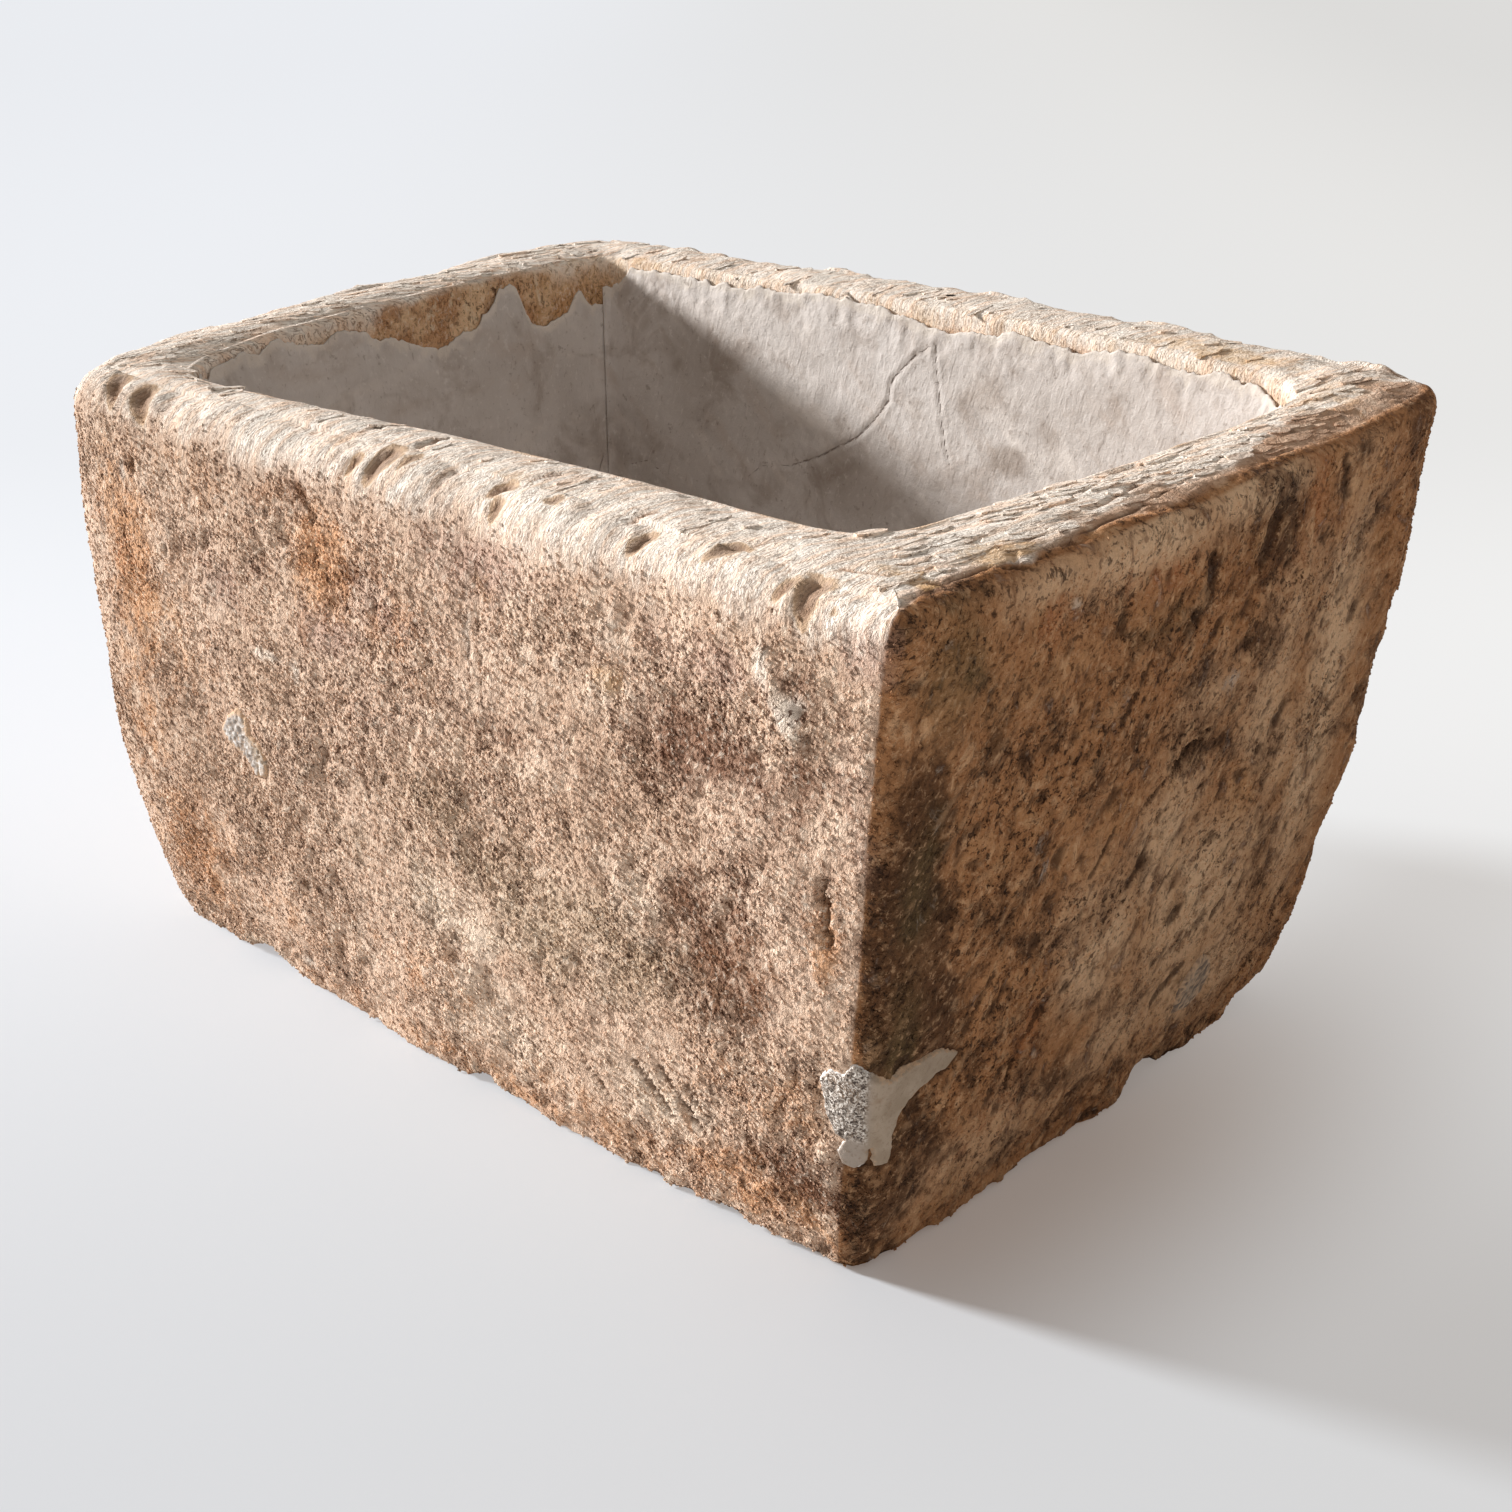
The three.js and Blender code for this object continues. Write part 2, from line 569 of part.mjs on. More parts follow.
let block = solid(blockGeometry()).subtract(bore);
for (const cut of [...gouges(), ...spalls()]) block = block.subtract(cut);
for (const name of Object.keys(pockets)) block = block.subtract(pockets[name].subtract(pocketBed));
piece("stone_trough", geometryOf(block), stoneMaterial);

piece("floor_screed", geometryOf(solid(screedGeometry()).subtract(bore)), renderMaterial);
WALLS.forEach((wall, side) => piece(`render_${wall}`, coatGeometry(side), renderMaterial));
for (const [name, prism] of Object.entries(repairs)) {
  piece(name, geometryOf(prism.intersect(proudSolid).subtract(bedSolid)), mortarMaterial);
}

// The origin is the middle of the block's overall outline, on the ground.
const box = new THREE.Box3().setFromObject(trough);
trough.position.set(-(box.min.x + box.max.x) / 2, -(box.min.y + box.max.y) / 2, -box.min.z);

export default trough;
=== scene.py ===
"""Looks of the old stone trough planter: hewn block, cement render in the basin, mortar repairs.

Metres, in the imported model's frame. The shapes repeat the part's own sizes, so each piece sits where
its CAD node is, and the relief, wear and stains are worked on top of them.
"""
import math
import bmesh
import bpy
import numpy as np
from mathutils import Matrix, Vector


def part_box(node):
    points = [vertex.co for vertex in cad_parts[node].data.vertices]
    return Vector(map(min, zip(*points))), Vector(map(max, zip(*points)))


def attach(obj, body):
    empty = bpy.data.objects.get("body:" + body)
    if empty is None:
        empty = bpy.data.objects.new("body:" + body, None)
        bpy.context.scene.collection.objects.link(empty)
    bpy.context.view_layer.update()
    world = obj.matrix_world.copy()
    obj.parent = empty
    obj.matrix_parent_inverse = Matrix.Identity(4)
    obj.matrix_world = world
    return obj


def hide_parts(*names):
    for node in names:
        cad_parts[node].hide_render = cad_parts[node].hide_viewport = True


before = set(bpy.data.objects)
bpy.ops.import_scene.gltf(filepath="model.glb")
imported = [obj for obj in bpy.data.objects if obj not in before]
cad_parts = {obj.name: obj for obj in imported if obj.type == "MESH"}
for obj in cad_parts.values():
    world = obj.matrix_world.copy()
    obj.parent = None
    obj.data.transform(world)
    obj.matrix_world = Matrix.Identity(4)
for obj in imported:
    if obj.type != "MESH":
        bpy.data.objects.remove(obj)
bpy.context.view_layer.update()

# Sizes shared with the part
MIDDLE = np.array([-0.0035387, -0.0055998])  # where the block's drawing centre lies in the frame
LENGTH, WIDTH, HEIGHT = 0.632, 0.436, 0.356
TAPER, BELLY, BELLY_SKEW, STRAY, BOW = 0.038, 0.014, 0.7, 0.020, 0.010
HEW_DEPTH, HEW_WAVE = 0.0016, 0.118
WALL, RIM_WEAR, RIM_CROWN = 0.057, 0.020, 0.002
OUTER_ARRIS, INNER_ARRIS = 0.024, 0.005
FOOT_RISE, FOOT_BREAK = 0.009, 0.012
FLOOR, BASIN_TAPER = 0.064, 0.020
DRAIN_RADIUS, DRAIN_SETBACK = 0.013, 0.040
SCREED, RENDER, RENDER_EDGE, RENDER_DROP = 0.014, 0.009, 0.003, 0.044
BOND_GAP, SHRINK_GAP = 0.0004, 0.0004
CORNER_RADIUS, BASIN_RADIUS = 0.046, 0.034

# Corners run left front, right front, right back, left back; sides run front, right end, back, left end.
SIGNS = np.array([[-1, -1], [1, -1], [1, 1], [-1, 1]], float)
RIM_STRAY = np.array([[1.0, 0.35], [-0.35, 0.3], [0.25, 0.3], [0.05, -0.1]])
BASE_STRAY = np.array([[-0.6, -0.35], [-0.55, -0.2], [-0.3, -0.4], [0.2, 0.0]])
BASIN_STRAY = np.array([[-0.4, -0.75], [-0.55, 0.35], [0.3, 0.2], [0.1, 0.5]])
BELLIES = np.array([0.95, 0.2, 0.7, 0.6])
RIM_RADII = np.array([0.8, 0.3, 0.95, 0.9])
BASE_RADII = np.array([1.0, 0.45, 0.9, 1.0])
BASIN_RADII = np.array([1.3, 0.9, 1.3, 0.55])
RIM_BOWS = np.array([-0.5, 0.3, 0.2, 0.2])
BASE_BOWS = np.array([0.7, 0.2, 0.2, 0.2])
BASIN_BOWS = np.array([-0.7, 0, 0.3, 0.4])
RIM_DIPS = [0.8, 0.79, 0.65, 0.55, 0.44, 0.44, 0.5, 0.4, 0.2, 0.05, 0.05, 0.25, 0.4, 0.35, 0.4, 0.5]
ARRISES = [0.85, 0.9, 0.55, 0.5, 0.35, 0.3, 0.4, 0.45]
FOOT_RISES = [
    0.3, 0.2, 0.75, 0.2, 0.1, 0.3, 0.15, 0.35, 0.1, 0.2, 0.45, 0.2, 0.3, 0.5, 0.2, 0.7, 0.9, 0.4, 0.2, 0.5,
    0.3, 0.6, 0.2, 0.4, 0.5, 0.3, 0.6, 0.2, 0.4, 0.2, 0.5, 0.4,
]
RENDER_DROPS = [
    [0, 0.3, 0.2, 0.4, 0.25, 0.35, 0.2, 0.25],
    [0.25, 0.2, 0.35, 0.25, 0.45, 0.3, 0.1],
    [0.1, 0, 0.25, 0, 0.03, 0.2, 0.3, 0.1, 0, 0, 0.05, 0.15, 0.1],
    [0.8, 0.72, 0.8, 0.8, 0.7, 0.08, 0.45, 0.75, 0.75, 0.66, 0.42, 0.2, 0.32, 0.24, 0.05, 0, 0],
]
SIDE_STARTS = np.array([0, 22, 39, 61, 78])  # columns of the part where each side begins
ARC = 2  # columns of the part over half a corner


# Plain number helpers
def unit(v):
    return v / np.maximum(np.linalg.norm(v, axis=-1, keepdims=True), 1e-12)


def mix(a, b, t):
    return a + (b - a) * t


def smooth(low, high, v):
    t = np.clip((v - low) / (high - low), 0, 1)
    return t * t * (3 - 2 * t)


def hump(distance, radius):
    return np.clip(1 - (distance / radius) ** 2, 0, 1) ** 2


def hashed(cell, seed):
    """One even random number from 0 to 1 for each whole-numbered cell."""
    c = cell.astype(np.int64).astype(np.uint32)
    h = (c[..., 0] * np.uint32(0x8DA6B343) + c[..., 1] * np.uint32(0xD8163841)
         + c[..., 2] * np.uint32(0xCB1AB31F))
    h = h + np.uint32((seed * 0x9E3779B1) & 0xFFFFFFFF)
    for shift, factor in ((15, 0x2C1B3C6D), (12, 0x297A2D39)):
        h = (h ^ (h >> np.uint32(shift))) * np.uint32(factor)
    return (h ^ (h >> np.uint32(15))).astype(float) / 4294967296.0


def swell(points, size, seed):
    """Smooth random height, -1 to 1, with humps about one size across."""
    q = points / size
    low = np.floor(q)
    t = q - low
    t = t * t * t * (t * (t * 6 - 15) + 10)
    total = 0
    for corner in range(8):
        step = np.array([corner & 1, corner >> 1 & 1, corner >> 2 & 1])
        weight = np.prod(np.where(step == 1, t, 1 - t), axis=-1)
        total = total + weight * hashed(low + step, seed)
    return total * 2 - 1


def rough(points, size, octaves, seed, fade=0.5, seed_step=31, shaped=lambda height: height):
    """Swells of one size and of its halves laid over each other."""
    total, weight, whole = 0, 1.0, 0.0
    for octave in range(octaves):
        total = total + weight * shaped(swell(points, size / 2 ** octave, seed + seed_step * octave))
        whole += weight
        weight *= fade
    return total / whole


def crests(points, size, octaves, seed):
    """Sharp-topped ridges, highest at 1."""
    return rough(points, size, octaves, seed, seed_step=57, shaped=lambda height: 1 - np.abs(height) * 2)


def cells(points, size, seed):
    """Distance to the nearest scattered point, in sizes, and that point's own random number."""
    q = points / size
    low = np.floor(q)
    near = np.full(q.shape[:-1], 9.0)
    own = np.zeros(q.shape[:-1])
    for i in range(27):
        step = np.array([i % 3 - 1, i // 3 % 3 - 1, i // 9 - 1])
        cell = low + step
        spot = cell + np.stack([hashed(cell, seed + k) for k in (1, 2, 3)], -1)
        d = np.linalg.norm(q - spot, axis=-1)
        closer = d < near
        near = np.where(closer, d, near)
        own = np.where(closer, hashed(cell, seed + 4), own)
    return near, own


def terraces(v, steps, crisp=0.25):
    """A height from 0 to 1 cut into flat steps with steep fronts."""
    s = v * steps
    whole = np.floor(s)
    return (whole + smooth(1 - crisp, 1, s - whole)) / steps


# Form of the block
def around(shares, station):
    shares = np.asarray(shares, float)
    place = (station / 8 * len(shares)) % len(shares)
    first = np.floor(place).astype(int)
    blend = (1 - np.cos(np.pi * (place - first))) / 2
    return mix(shares[first % len(shares)], shares[(first + 1) % len(shares)], blend)


def side_of(column):
    side = np.clip(np.searchsorted(SIDE_STARTS, column, side="right") - 1, 0, 3)
    return side, column - SIDE_STARTS[side]


def station_of(column):
    side, local = side_of(column % SIDE_STARTS[-1])
    return 2 * side + 2 * local / (SIDE_STARTS[side + 1] - SIDE_STARTS[side])


def outline(column, corners, radii, bows):
    """Plan of a hewn ring at given columns. Corners, radii and bows may differ from point to point."""
    column = column % SIDE_STARTS[-1]
    shape = np.broadcast_shapes(column.shape, corners.shape[:-2])
    column = np.broadcast_to(column, shape)
    corners = np.broadcast_to(corners, shape + (4, 2))
    radii = np.broadcast_to(radii, shape + (4,))
    bows = np.broadcast_to(bows, shape + (4,))
    side, local = side_of(column)
    steps = SIDE_STARTS[side + 1] - SIDE_STARTS[side] - 2 * ARC

    def corner(k):
        index = ((side + k) % 4)[..., None, None]
        return np.take_along_axis(corners, np.broadcast_to(index, shape + (1, 2)), -2)[..., 0, :]

    def radius(k):
        return np.take_along_axis(radii, ((side + k) % 4)[..., None], -1)

    start, end, before, after = corner(0), corner(1), corner(3), corner(2)
    run = unit(end - start)
    outward = np.stack([run[..., 1], -run[..., 0]], -1)
    leave, arrive = start + run * radius(0), end - run * radius(1)
    entry, leaving = start + unit(before - start) * radius(0), end + unit(after - end) * radius(1)

    def bend(a, b, c, t):
        t = t[..., None]
        return (1 - t) ** 2 * a + 2 * (1 - t) * t * b + t * t * c

    t = np.clip((local - ARC) / steps, 0, 1)
    bow = np.take_along_axis(bows, side[..., None], -1)
    straight = mix(leave, arrive, t[..., None]) + outward * bow * (4 * t * (1 - t))[..., None]
    first = bend(entry, start, leave, (1 + local / ARC) / 2)
    last = bend(arrive, end, leaving, (local - ARC - steps) / ARC / 2)
    point = np.where((local < ARC)[..., None], first, straight)
    return np.where((local > ARC + steps)[..., None], last, point)


HALF = np.array([LENGTH, WIDTH]) / 2
RIM_CORNERS = SIGNS * HALF + STRAY * RIM_STRAY
BASE_CORNERS = SIGNS * (HALF - TAPER) + STRAY * BASE_STRAY
BASIN_CORNERS = RIM_CORNERS - SIGNS * WALL + STRAY * BASIN_STRAY
FLOOR_CORNERS = BASIN_CORNERS - SIGNS * BASIN_TAPER


def outside(column, height, offset=0.0):
    """Plan of the block's outside at a height, both given point by point."""
    share = np.clip(height / HEIGHT, 0, 1)
    push = BELLY * BELLIES * np.sin(np.pi * share ** BELLY_SKEW)[..., None] + offset
    corners = mix(BASE_CORNERS, RIM_CORNERS, share[..., None, None]) + SIGNS * push[..., None]
    radii = CORNER_RADIUS * mix(BASE_RADII, RIM_RADII, share[..., None])
    bows = BOW * mix(BASE_BOWS, RIM_BOWS, share[..., None])
    return outline(column, corners, radii, bows)


def basin(column, height):
    foot = outline(column, FLOOR_CORNERS, BASIN_RADIUS * BASIN_RADII, BOW * BASIN_BOWS)
    return mix(foot, basin_rim(column), ((height - FLOOR) / (HEIGHT - FLOOR))[..., None])


def rim_height(column):
    return HEIGHT - RIM_WEAR * around(RIM_DIPS, station_of(column))


def plan_outward(shape_at, column):
    step = 0.02
    run = unit(shape_at(column + step) - shape_at(column - step))
    return np.stack([run[..., 1], -run[..., 0]], -1)


def basin_rim(column):
    return outline(column, BASIN_CORNERS, BASIN_RADIUS * BASIN_RADII, BOW * BASIN_BOWS)


def lift(plan, height):
    """Plan points and heights to points of the frame."""
    height = np.broadcast_to(height, plan.shape[:-1])
    return np.concatenate([plan + MIDDLE, height[..., None]], -1)


BEDDING = math.radians(12)  # the stone's upright beds run a little aslant of the frame's Y


def bedded(points):
    """Places across the bedding, drawn together along it and upwards, so that noise there runs in layers."""
    drawn = 0.14
    x, y = points[..., 0], points[..., 1]
    across = x * math.cos(BEDDING) - y * math.sin(BEDDING)
    along = x * math.sin(BEDDING) + y * math.cos(BEDDING)
    return np.stack([across, along * drawn, points[..., 2] * drawn], -1)


def hew_wave(points):
    x, y, z = points[..., 0] - MIDDLE[0], points[..., 1] - MIDDLE[1], points[..., 2]
    turn = 2 * np.pi / HEW_WAVE
    return HEW_DEPTH * np.sin(turn * (x + z / 2)) * np.cos(turn * (y - z / 2))


def even_columns(first, last, spacing):
    """Column places about one spacing apart along the outside, a multiple of 3 of them."""
    fine = np.linspace(first, last, 3000)
    run = np.linalg.norm(np.diff(outside(fine, np.full(fine.shape, 0.25)), axis=0), axis=-1)
    total = np.concatenate([[0], np.cumsum(run)])
    count = max(3, 3 * round(total[-1] / spacing / 3))
    return np.interp(np.linspace(0, total[-1], count + 1)[:-1], total, fine)


# Mesh helpers
def grid_normals(grid):
    across = np.roll(grid, -1, 1) - np.roll(grid, 1, 1)
    up = np.roll(grid, -1, 0) - np.roll(grid, 1, 0)
    return unit(np.cross(across, up))


def blurred(values, reach):
    """Mean of each point's neighbours up to a reach of rows and columns."""
    total = np.zeros_like(values)
    for r in range(-reach, reach + 1):
        for c in range(-reach, reach + 1):
            total += np.roll(values, (r, c), (0, 1))
    return total / (2 * reach + 1) ** 2


def placed(name, data):
    thing = bpy.data.objects.new(name, data)
    bpy.context.scene.collection.objects.link(thing)
    return thing


def make_mesh(name, points, faces, shares=None, vectors=None):
    """A smooth-shaded object from points and faces, with each share's number and each vector by point."""
    points = np.asarray(points, float).reshape(-1, 3)
    mesh = bpy.data.meshes.new(name)
    mesh.from_pydata(points.tolist(), [], faces)
    mesh.polygons.foreach_set("use_smooth", [True] * len(mesh.polygons))
    for kind, part, given in (("FLOAT", "value", shares), ("FLOAT_VECTOR", "vector", vectors)):
        for key, values in (given or {}).items():
            values = np.ascontiguousarray(np.asarray(values, np.float32).reshape(-1))
            mesh.attributes.new(key, kind, "POINT").data.foreach_set(part, values)
    mesh.update()
    return placed(name, mesh)


def drop_loose_points(thing):
    used = np.zeros(len(thing.data.vertices), bool)
    index = np.zeros(len(thing.data.loops), np.int32)
    thing.data.loops.foreach_get("vertex_index", index)
    used[index] = True
    work = bmesh.new()
    work.from_mesh(thing.data)
    work.verts.ensure_lookup_table()
    loose = [work.verts[i] for i in np.nonzero(~used)[0]]
    bmesh.ops.delete(work, geom=loose, context="VERTS")
    work.to_mesh(thing.data)
    work.free()


def ring_faces(rows, columns, coarse=None):
    """Faces of a grid closed both ways. Blocks of the coarse stretch (rows from, to, columns from, to) are
    3 by 3 cells in one face, which keeps the points of finer neighbours along its edges."""
    at = lambda r, c: (r % rows) * columns + c % columns
    faces = []
    block = 3
    if coarse:
        r0, r1, c0, c1 = coarse
    for r in range(rows):
        for c in range(columns):
            if coarse and r0 <= r < r1 and c0 <= c < c1:
                continue
            faces.append((at(r, c), at(r, c + 1), at(r + 1, c + 1), at(r + 1, c)))
    if coarse:
        for r in range(r0, r1, block):
            for c in range(c0, c1, block):
                low = [at(r, c + k) for k in (range(block) if r == r0 else (0,))]
                right = [at(r + k, c + block) for k in (range(block) if c + block == c1 else (0,))]
                high = [at(r + block, c + block - k) for k in (range(block) if r + block == r1 else (0,))]
                left = [at(r + block - k, c) for k in (range(block) if c == c0 else (0,))]
                faces.append(tuple(low + right + high + left))
    return faces


# Node helpers
def feed(tree, socket, value):
    if isinstance(value, bpy.types.NodeSocket):
        tree.links.new(value, socket)
    else:
        socket.default_value = value


def add_node(tree, kind, inputs=None, **settings):
    node = tree.nodes.new(kind)
    for key, value in settings.items():
        setattr(node, key, value)
    for key, value in (inputs or {}).items():
        feed(tree, node.inputs[key], value)
    return node


def tone(red, green, blue):
    """A colour written as it looks on a screen, 0 to 255, for a shader socket."""
    parts = [c / 255 for c in (red, green, blue)]
    return tuple(c / 12.92 if c <= 0.04045 else ((c + 0.055) / 1.055) ** 2.4 for c in parts) + (1.0,)


def calc(tree, action, *values):
    return add_node(tree, "ShaderNodeMath", dict(enumerate(values)), operation=action).outputs[0]


def span(tree, value, low, high, to_low=0.0, to_high=1.0):
    return add_node(tree, "ShaderNodeMapRange", {
        "Value": value, "From Min": low, "From Max": high, "To Min": to_low, "To Max": to_high,
    }, interpolation_type="SMOOTHSTEP").outputs["Result"]


def vector(tree, action, a, b):
    """A sum with two vectors, or with a vector and the number that scales it."""
    return add_node(tree, "ShaderNodeVectorMath", {0: a, ("Scale" if action == "SCALE" else 1): b},
                    operation=action).outputs["Vector"]


def coloured(tree, under, colour, amount):
    """One colour laid over another."""
    node = add_node(tree, "ShaderNodeMix", data_type="RGBA")
    for key, value in (("Factor_Float", amount), ("A_Color", under), ("B_Color", colour)):
        feed(tree, next(s for s in node.inputs if s.identifier == key), value)
    return next(s for s in node.outputs if s.identifier == "Result_Color")


class Finish:
    """A matt mineral finish: object-space grain, tints laid over each other, and a bump."""

    def __init__(self, name, roughness):
        self.material = bpy.data.materials.new(name)
        self.material.use_nodes = True
        self.tree = self.material.node_tree
        self.shader = self.tree.nodes["Principled BSDF"]
        self.shader.inputs["Roughness"].default_value = roughness
        self.shader.inputs["Specular IOR Level"].default_value = 0.25
        self.place = add_node(self.tree, "ShaderNodeTexCoord").outputs["Object"]

    def grain(self, size, detail=3.0, rough=0.55, stretch=(1, 1, 1), turn=(0, 0, 0), seed=0.0, swirl=0.0):
        """Noise about one size across, in metres, 0 to 1. Stretch lengthens it along its turned axes."""
        where = add_node(self.tree, "ShaderNodeMapping", {
            "Vector": self.place, "Location": (seed, seed * 0.7, seed * 0.3), "Rotation": turn,
            "Scale": stretch}, vector_type="TEXTURE").outputs["Vector"]
        return add_node(self.tree, "ShaderNodeTexNoise", {
            "Vector": where, "Scale": 1 / size, "Detail": detail, "Roughness": rough, "Distortion": swirl,
        }).outputs["Fac"]

    def share(self, name):
        return add_node(self.tree, "ShaderNodeAttribute", attribute_name=name).outputs["Fac"]

    def between(self, value, low, high):
        """From 0 at low to 1 at high, which may lie below low."""
        return span(self.tree, value, low, high)

    def near(self, value, middle, far, close):
        """From 0 at a distance far from a middle value to 1 close to it."""
        return self.between(calc(self.tree, "ABSOLUTE", self.less(value, middle)), far, close)

    def broken(self, share, noise, spread=0.5, soft=0.25):
        """A worked share whose edge is broken up by a noise."""
        shifted = calc(self.tree, "MULTIPLY_ADD", self.less(noise, 0.5), spread * 2, share)
        return self.between(shifted, 0.5 - soft, 0.5 + soft)

    def tint(self, under, colour, amount):
        """A colour, written as 0 to 255 or a socket, laid over another."""
        ends = [c if isinstance(c, bpy.types.NodeSocket) else tone(*c) for c in (under, colour)]
        return coloured(self.tree, *ends, amount)

    def wash(self, under, colour, noise, low, high, amount):
        """A tint where a noise or share runs from low to high."""
        return self.tint(under, colour, self.times(self.between(noise, low, high), amount))

    def washes(self, under, *rows):
        for row in rows:
            under = self.wash(under, *row)
        return under

    def times(self, a, b):
        return calc(self.tree, "MULTIPLY", a, b)

    def plus(self, *parts):
        total = parts[0]
        for part in parts[1:]:
            total = calc(self.tree, "ADD", total, part)
        return total

    def less(self, a, b):
        return calc(self.tree, "SUBTRACT", a, b)

    def blend(self, a, b, amount):
        """From a to b, both numbers."""
        return calc(self.tree, "MULTIPLY_ADD", self.less(b, a), amount, a)

    def layers(self, noise, count):
        """A noise cut into flat steps with sharp fronts."""
        return self.times(calc(self.tree, "FLOOR", self.times(noise, float(count))), 1.0 / count)

    def done(self, colour, height, strength, distance):
        self.tree.links.new(colour, self.shader.inputs["Base Color"])
        bump = add_node(self.tree, "ShaderNodeBump", {
            "Height": height, "Strength": strength, "Distance": distance})
        self.tree.links.new(bump.outputs["Normal"], self.shader.inputs["Normal"])
        return self.material


# Finishes
STREAK_LEAN = math.radians(-35)  # bedding streaks of the end face rise to the right


def hewn_stone_finish():
    f = Finish("hewn_stone", 0.95)
    broad = f.grain(0.10, 3, 0.55)
    patch = f.grain(0.030, 4, 0.62, seed=3.1)
    blot = f.grain(0.011, 4, 0.64, stretch=(1, 1, 1.4), seed=4.4, swirl=0.6)
    grit = f.grain(0.0027, 3, 0.7, stretch=(1, 1, 1.4), turn=(0, 0.3, 0), seed=5.7, swirl=0.5)
    sand = f.grain(0.0014, 2, 0.6, seed=8.3)
    streak = f.grain(0.018, 5, 0.66, stretch=(1, 1, 2.2), turn=(STREAK_LEAN, 0, 0), seed=2.9, swirl=0.9)
    wrinkle = f.grain(0.0034, 4, 0.7, stretch=(1, 1, 1.2), turn=(STREAK_LEAN, 0, 0), seed=7.7, swirl=0.4)
    strata = f.grain(0.0040, 4, 0.6, stretch=(1, 6, 6), turn=(0, 0, -BEDDING), seed=12.1, swirl=0.3)
    mottle = f.blend(patch, blot, 0.5)
    worn, tan, hollow, grainy = (f.share(name) for name in ("worn", "tan", "hollow", "grainy"))
    brown = f.broken(f.share("brown"), blot, 0.2, 0.2)
    pale = f.broken(tan, patch, 0.55, 0.5)

    # Weathered face: warm beige with pinkish and greyish clouds, palest low on the left; the tan patches low
    # on the front are partly painted light bounced from the floor.
    face = f.tint((226, 195, 171), (210, 178, 153), f.between(broad, 0.40, 0.62))
    face = f.washes(
        face, ((188, 150, 124), patch, 0.52, 0.72, 0.40), ((242, 218, 196), patch, 0.46, 0.28, 0.5))
    face = f.tint(face, (255, 234, 212), f.times(f.broken(tan, patch, 0.5, 0.4), 0.8))
    face = f.washes(
        face, ((168, 128, 101), blot, 0.55, 0.74, 0.45), ((248, 224, 200), blot, 0.44, 0.28, 0.5))

    # End and the other faces turned to the right, away from the sun: a browner copy of the stone, partly its
    # own staining and partly painted shade, dark brown that pales to tan towards the right and the foot.
    end = f.tint((180, 128, 86), (240, 202, 164), pale)
    end = f.washes(
        end,
        (f.tint((206, 156, 112), (240, 208, 174), pale), streak, 0.53, 0.70, 0.6),
        (f.tint((110, 72, 42), (168, 120, 82), pale), streak, 0.47, 0.30, 0.6),
        (f.tint((92, 58, 33), (146, 100, 66), pale), patch, 0.53, 0.63, 0.6),
        (f.tint((206, 156, 110), (250, 216, 180), pale), patch, 0.44, 0.34, 0.5),
        ((98, 63, 37), blot, 0.54, 0.66, 0.6), ((230, 186, 144), blot, 0.45, 0.32, 0.6))
    colour = f.tint(face, end, brown)

    # Stains: share, tone on the front, tone on the end (darker, partly as painted shade), the noise that
    # breaks it, spread, softness, amount.
    for name, front_tone, damp, noise, spread, soft, amount in (
            ("plum", (186, 152, 138), (186, 152, 138), patch, 0.5, 0.25, 0.6),
            ("iron", (236, 182, 132), (186, 116, 70), blot, 0.9, 0.4, 0.65),
            ("iron", (206, 142, 94), (206, 142, 94), mottle, 1.2, 0.3, 0.36),
            ("umber", (116, 70, 42), (74, 47, 28), mottle, 1.4, 0.4, 0.80),
            ("lichen", (188, 168, 140), (104, 90, 58), patch, 0.6, 0.35, 0.52)):
        stain = f.tint(front_tone, damp, brown)
        colour = f.tint(colour, stain, f.times(f.broken(f.share(name), noise, spread, soft), amount))

    # Pale worn rim with fine dark seams between its layers, and bare stone inside the mouth.
    seam = f.near(strata, 0.36, 0.020, 0.004)
    for place in (0.46, 0.57, 0.68):
        seam = calc(f.tree, "MAXIMUM", seam, f.near(strata, place, 0.018, 0.004))
    rim = f.tint((255, 246, 235), (255, 229, 207), f.between(strata, 0.42, 0.66))
    rim = f.wash(rim, (236, 200, 168), patch, 0.54, 0.74, 0.5)
    rim = f.tint(rim, (142, 106, 78), f.times(f.times(seam, f.between(blot, 0.38, 0.54)), 0.7))
    colour = f.tint(colour, rim, f.broken(worn, blot, 0.55, 0.40))
    inner = f.tint((240, 204, 164), (208, 158, 116), f.between(patch, 0.40, 0.62))
    inner = f.washes(inner, ((152, 106, 74), blot, 0.55, 0.72, 0.6), ((242, 224, 194), blot, 0.45, 0.30, 0.7))
    colour = f.tint(colour, inner, f.share("bare"))
    colour = f.tint(colour, (232, 186, 126), f.times(f.broken(f.share("ochre"), blot, 0.6, 0.35), 0.60))
    colour = f.tint(colour, (242, 230, 216), f.times(f.broken(f.share("chalk"), blot, 0.9, 0.3), 0.7))

    # Painted shade in the crevices of the fine grain and painted highlight on its crests, strongest where the
    # skin has gone; the fine fissures darken too.
    grain_here = f.blend(grit, wrinkle, brown)
    crevice_shade = f.tint((86, 50, 30), (52, 31, 17), brown)
    colour = f.wash(colour, crevice_shade, grain_here, 0.465, 0.38, grainy)
    fissure = f.times(f.near(f.blend(blot, streak, brown), 0.5, 0.014, 0.003), f.between(patch, 0.44, 0.60))
    colour = f.tint(colour, crevice_shade, f.times(fissure, f.times(grainy, 0.75)))
    colour = f.wash(colour, f.tint((255, 240, 222), (222, 180, 140), brown), grain_here, 0.54, 0.68, 0.52)
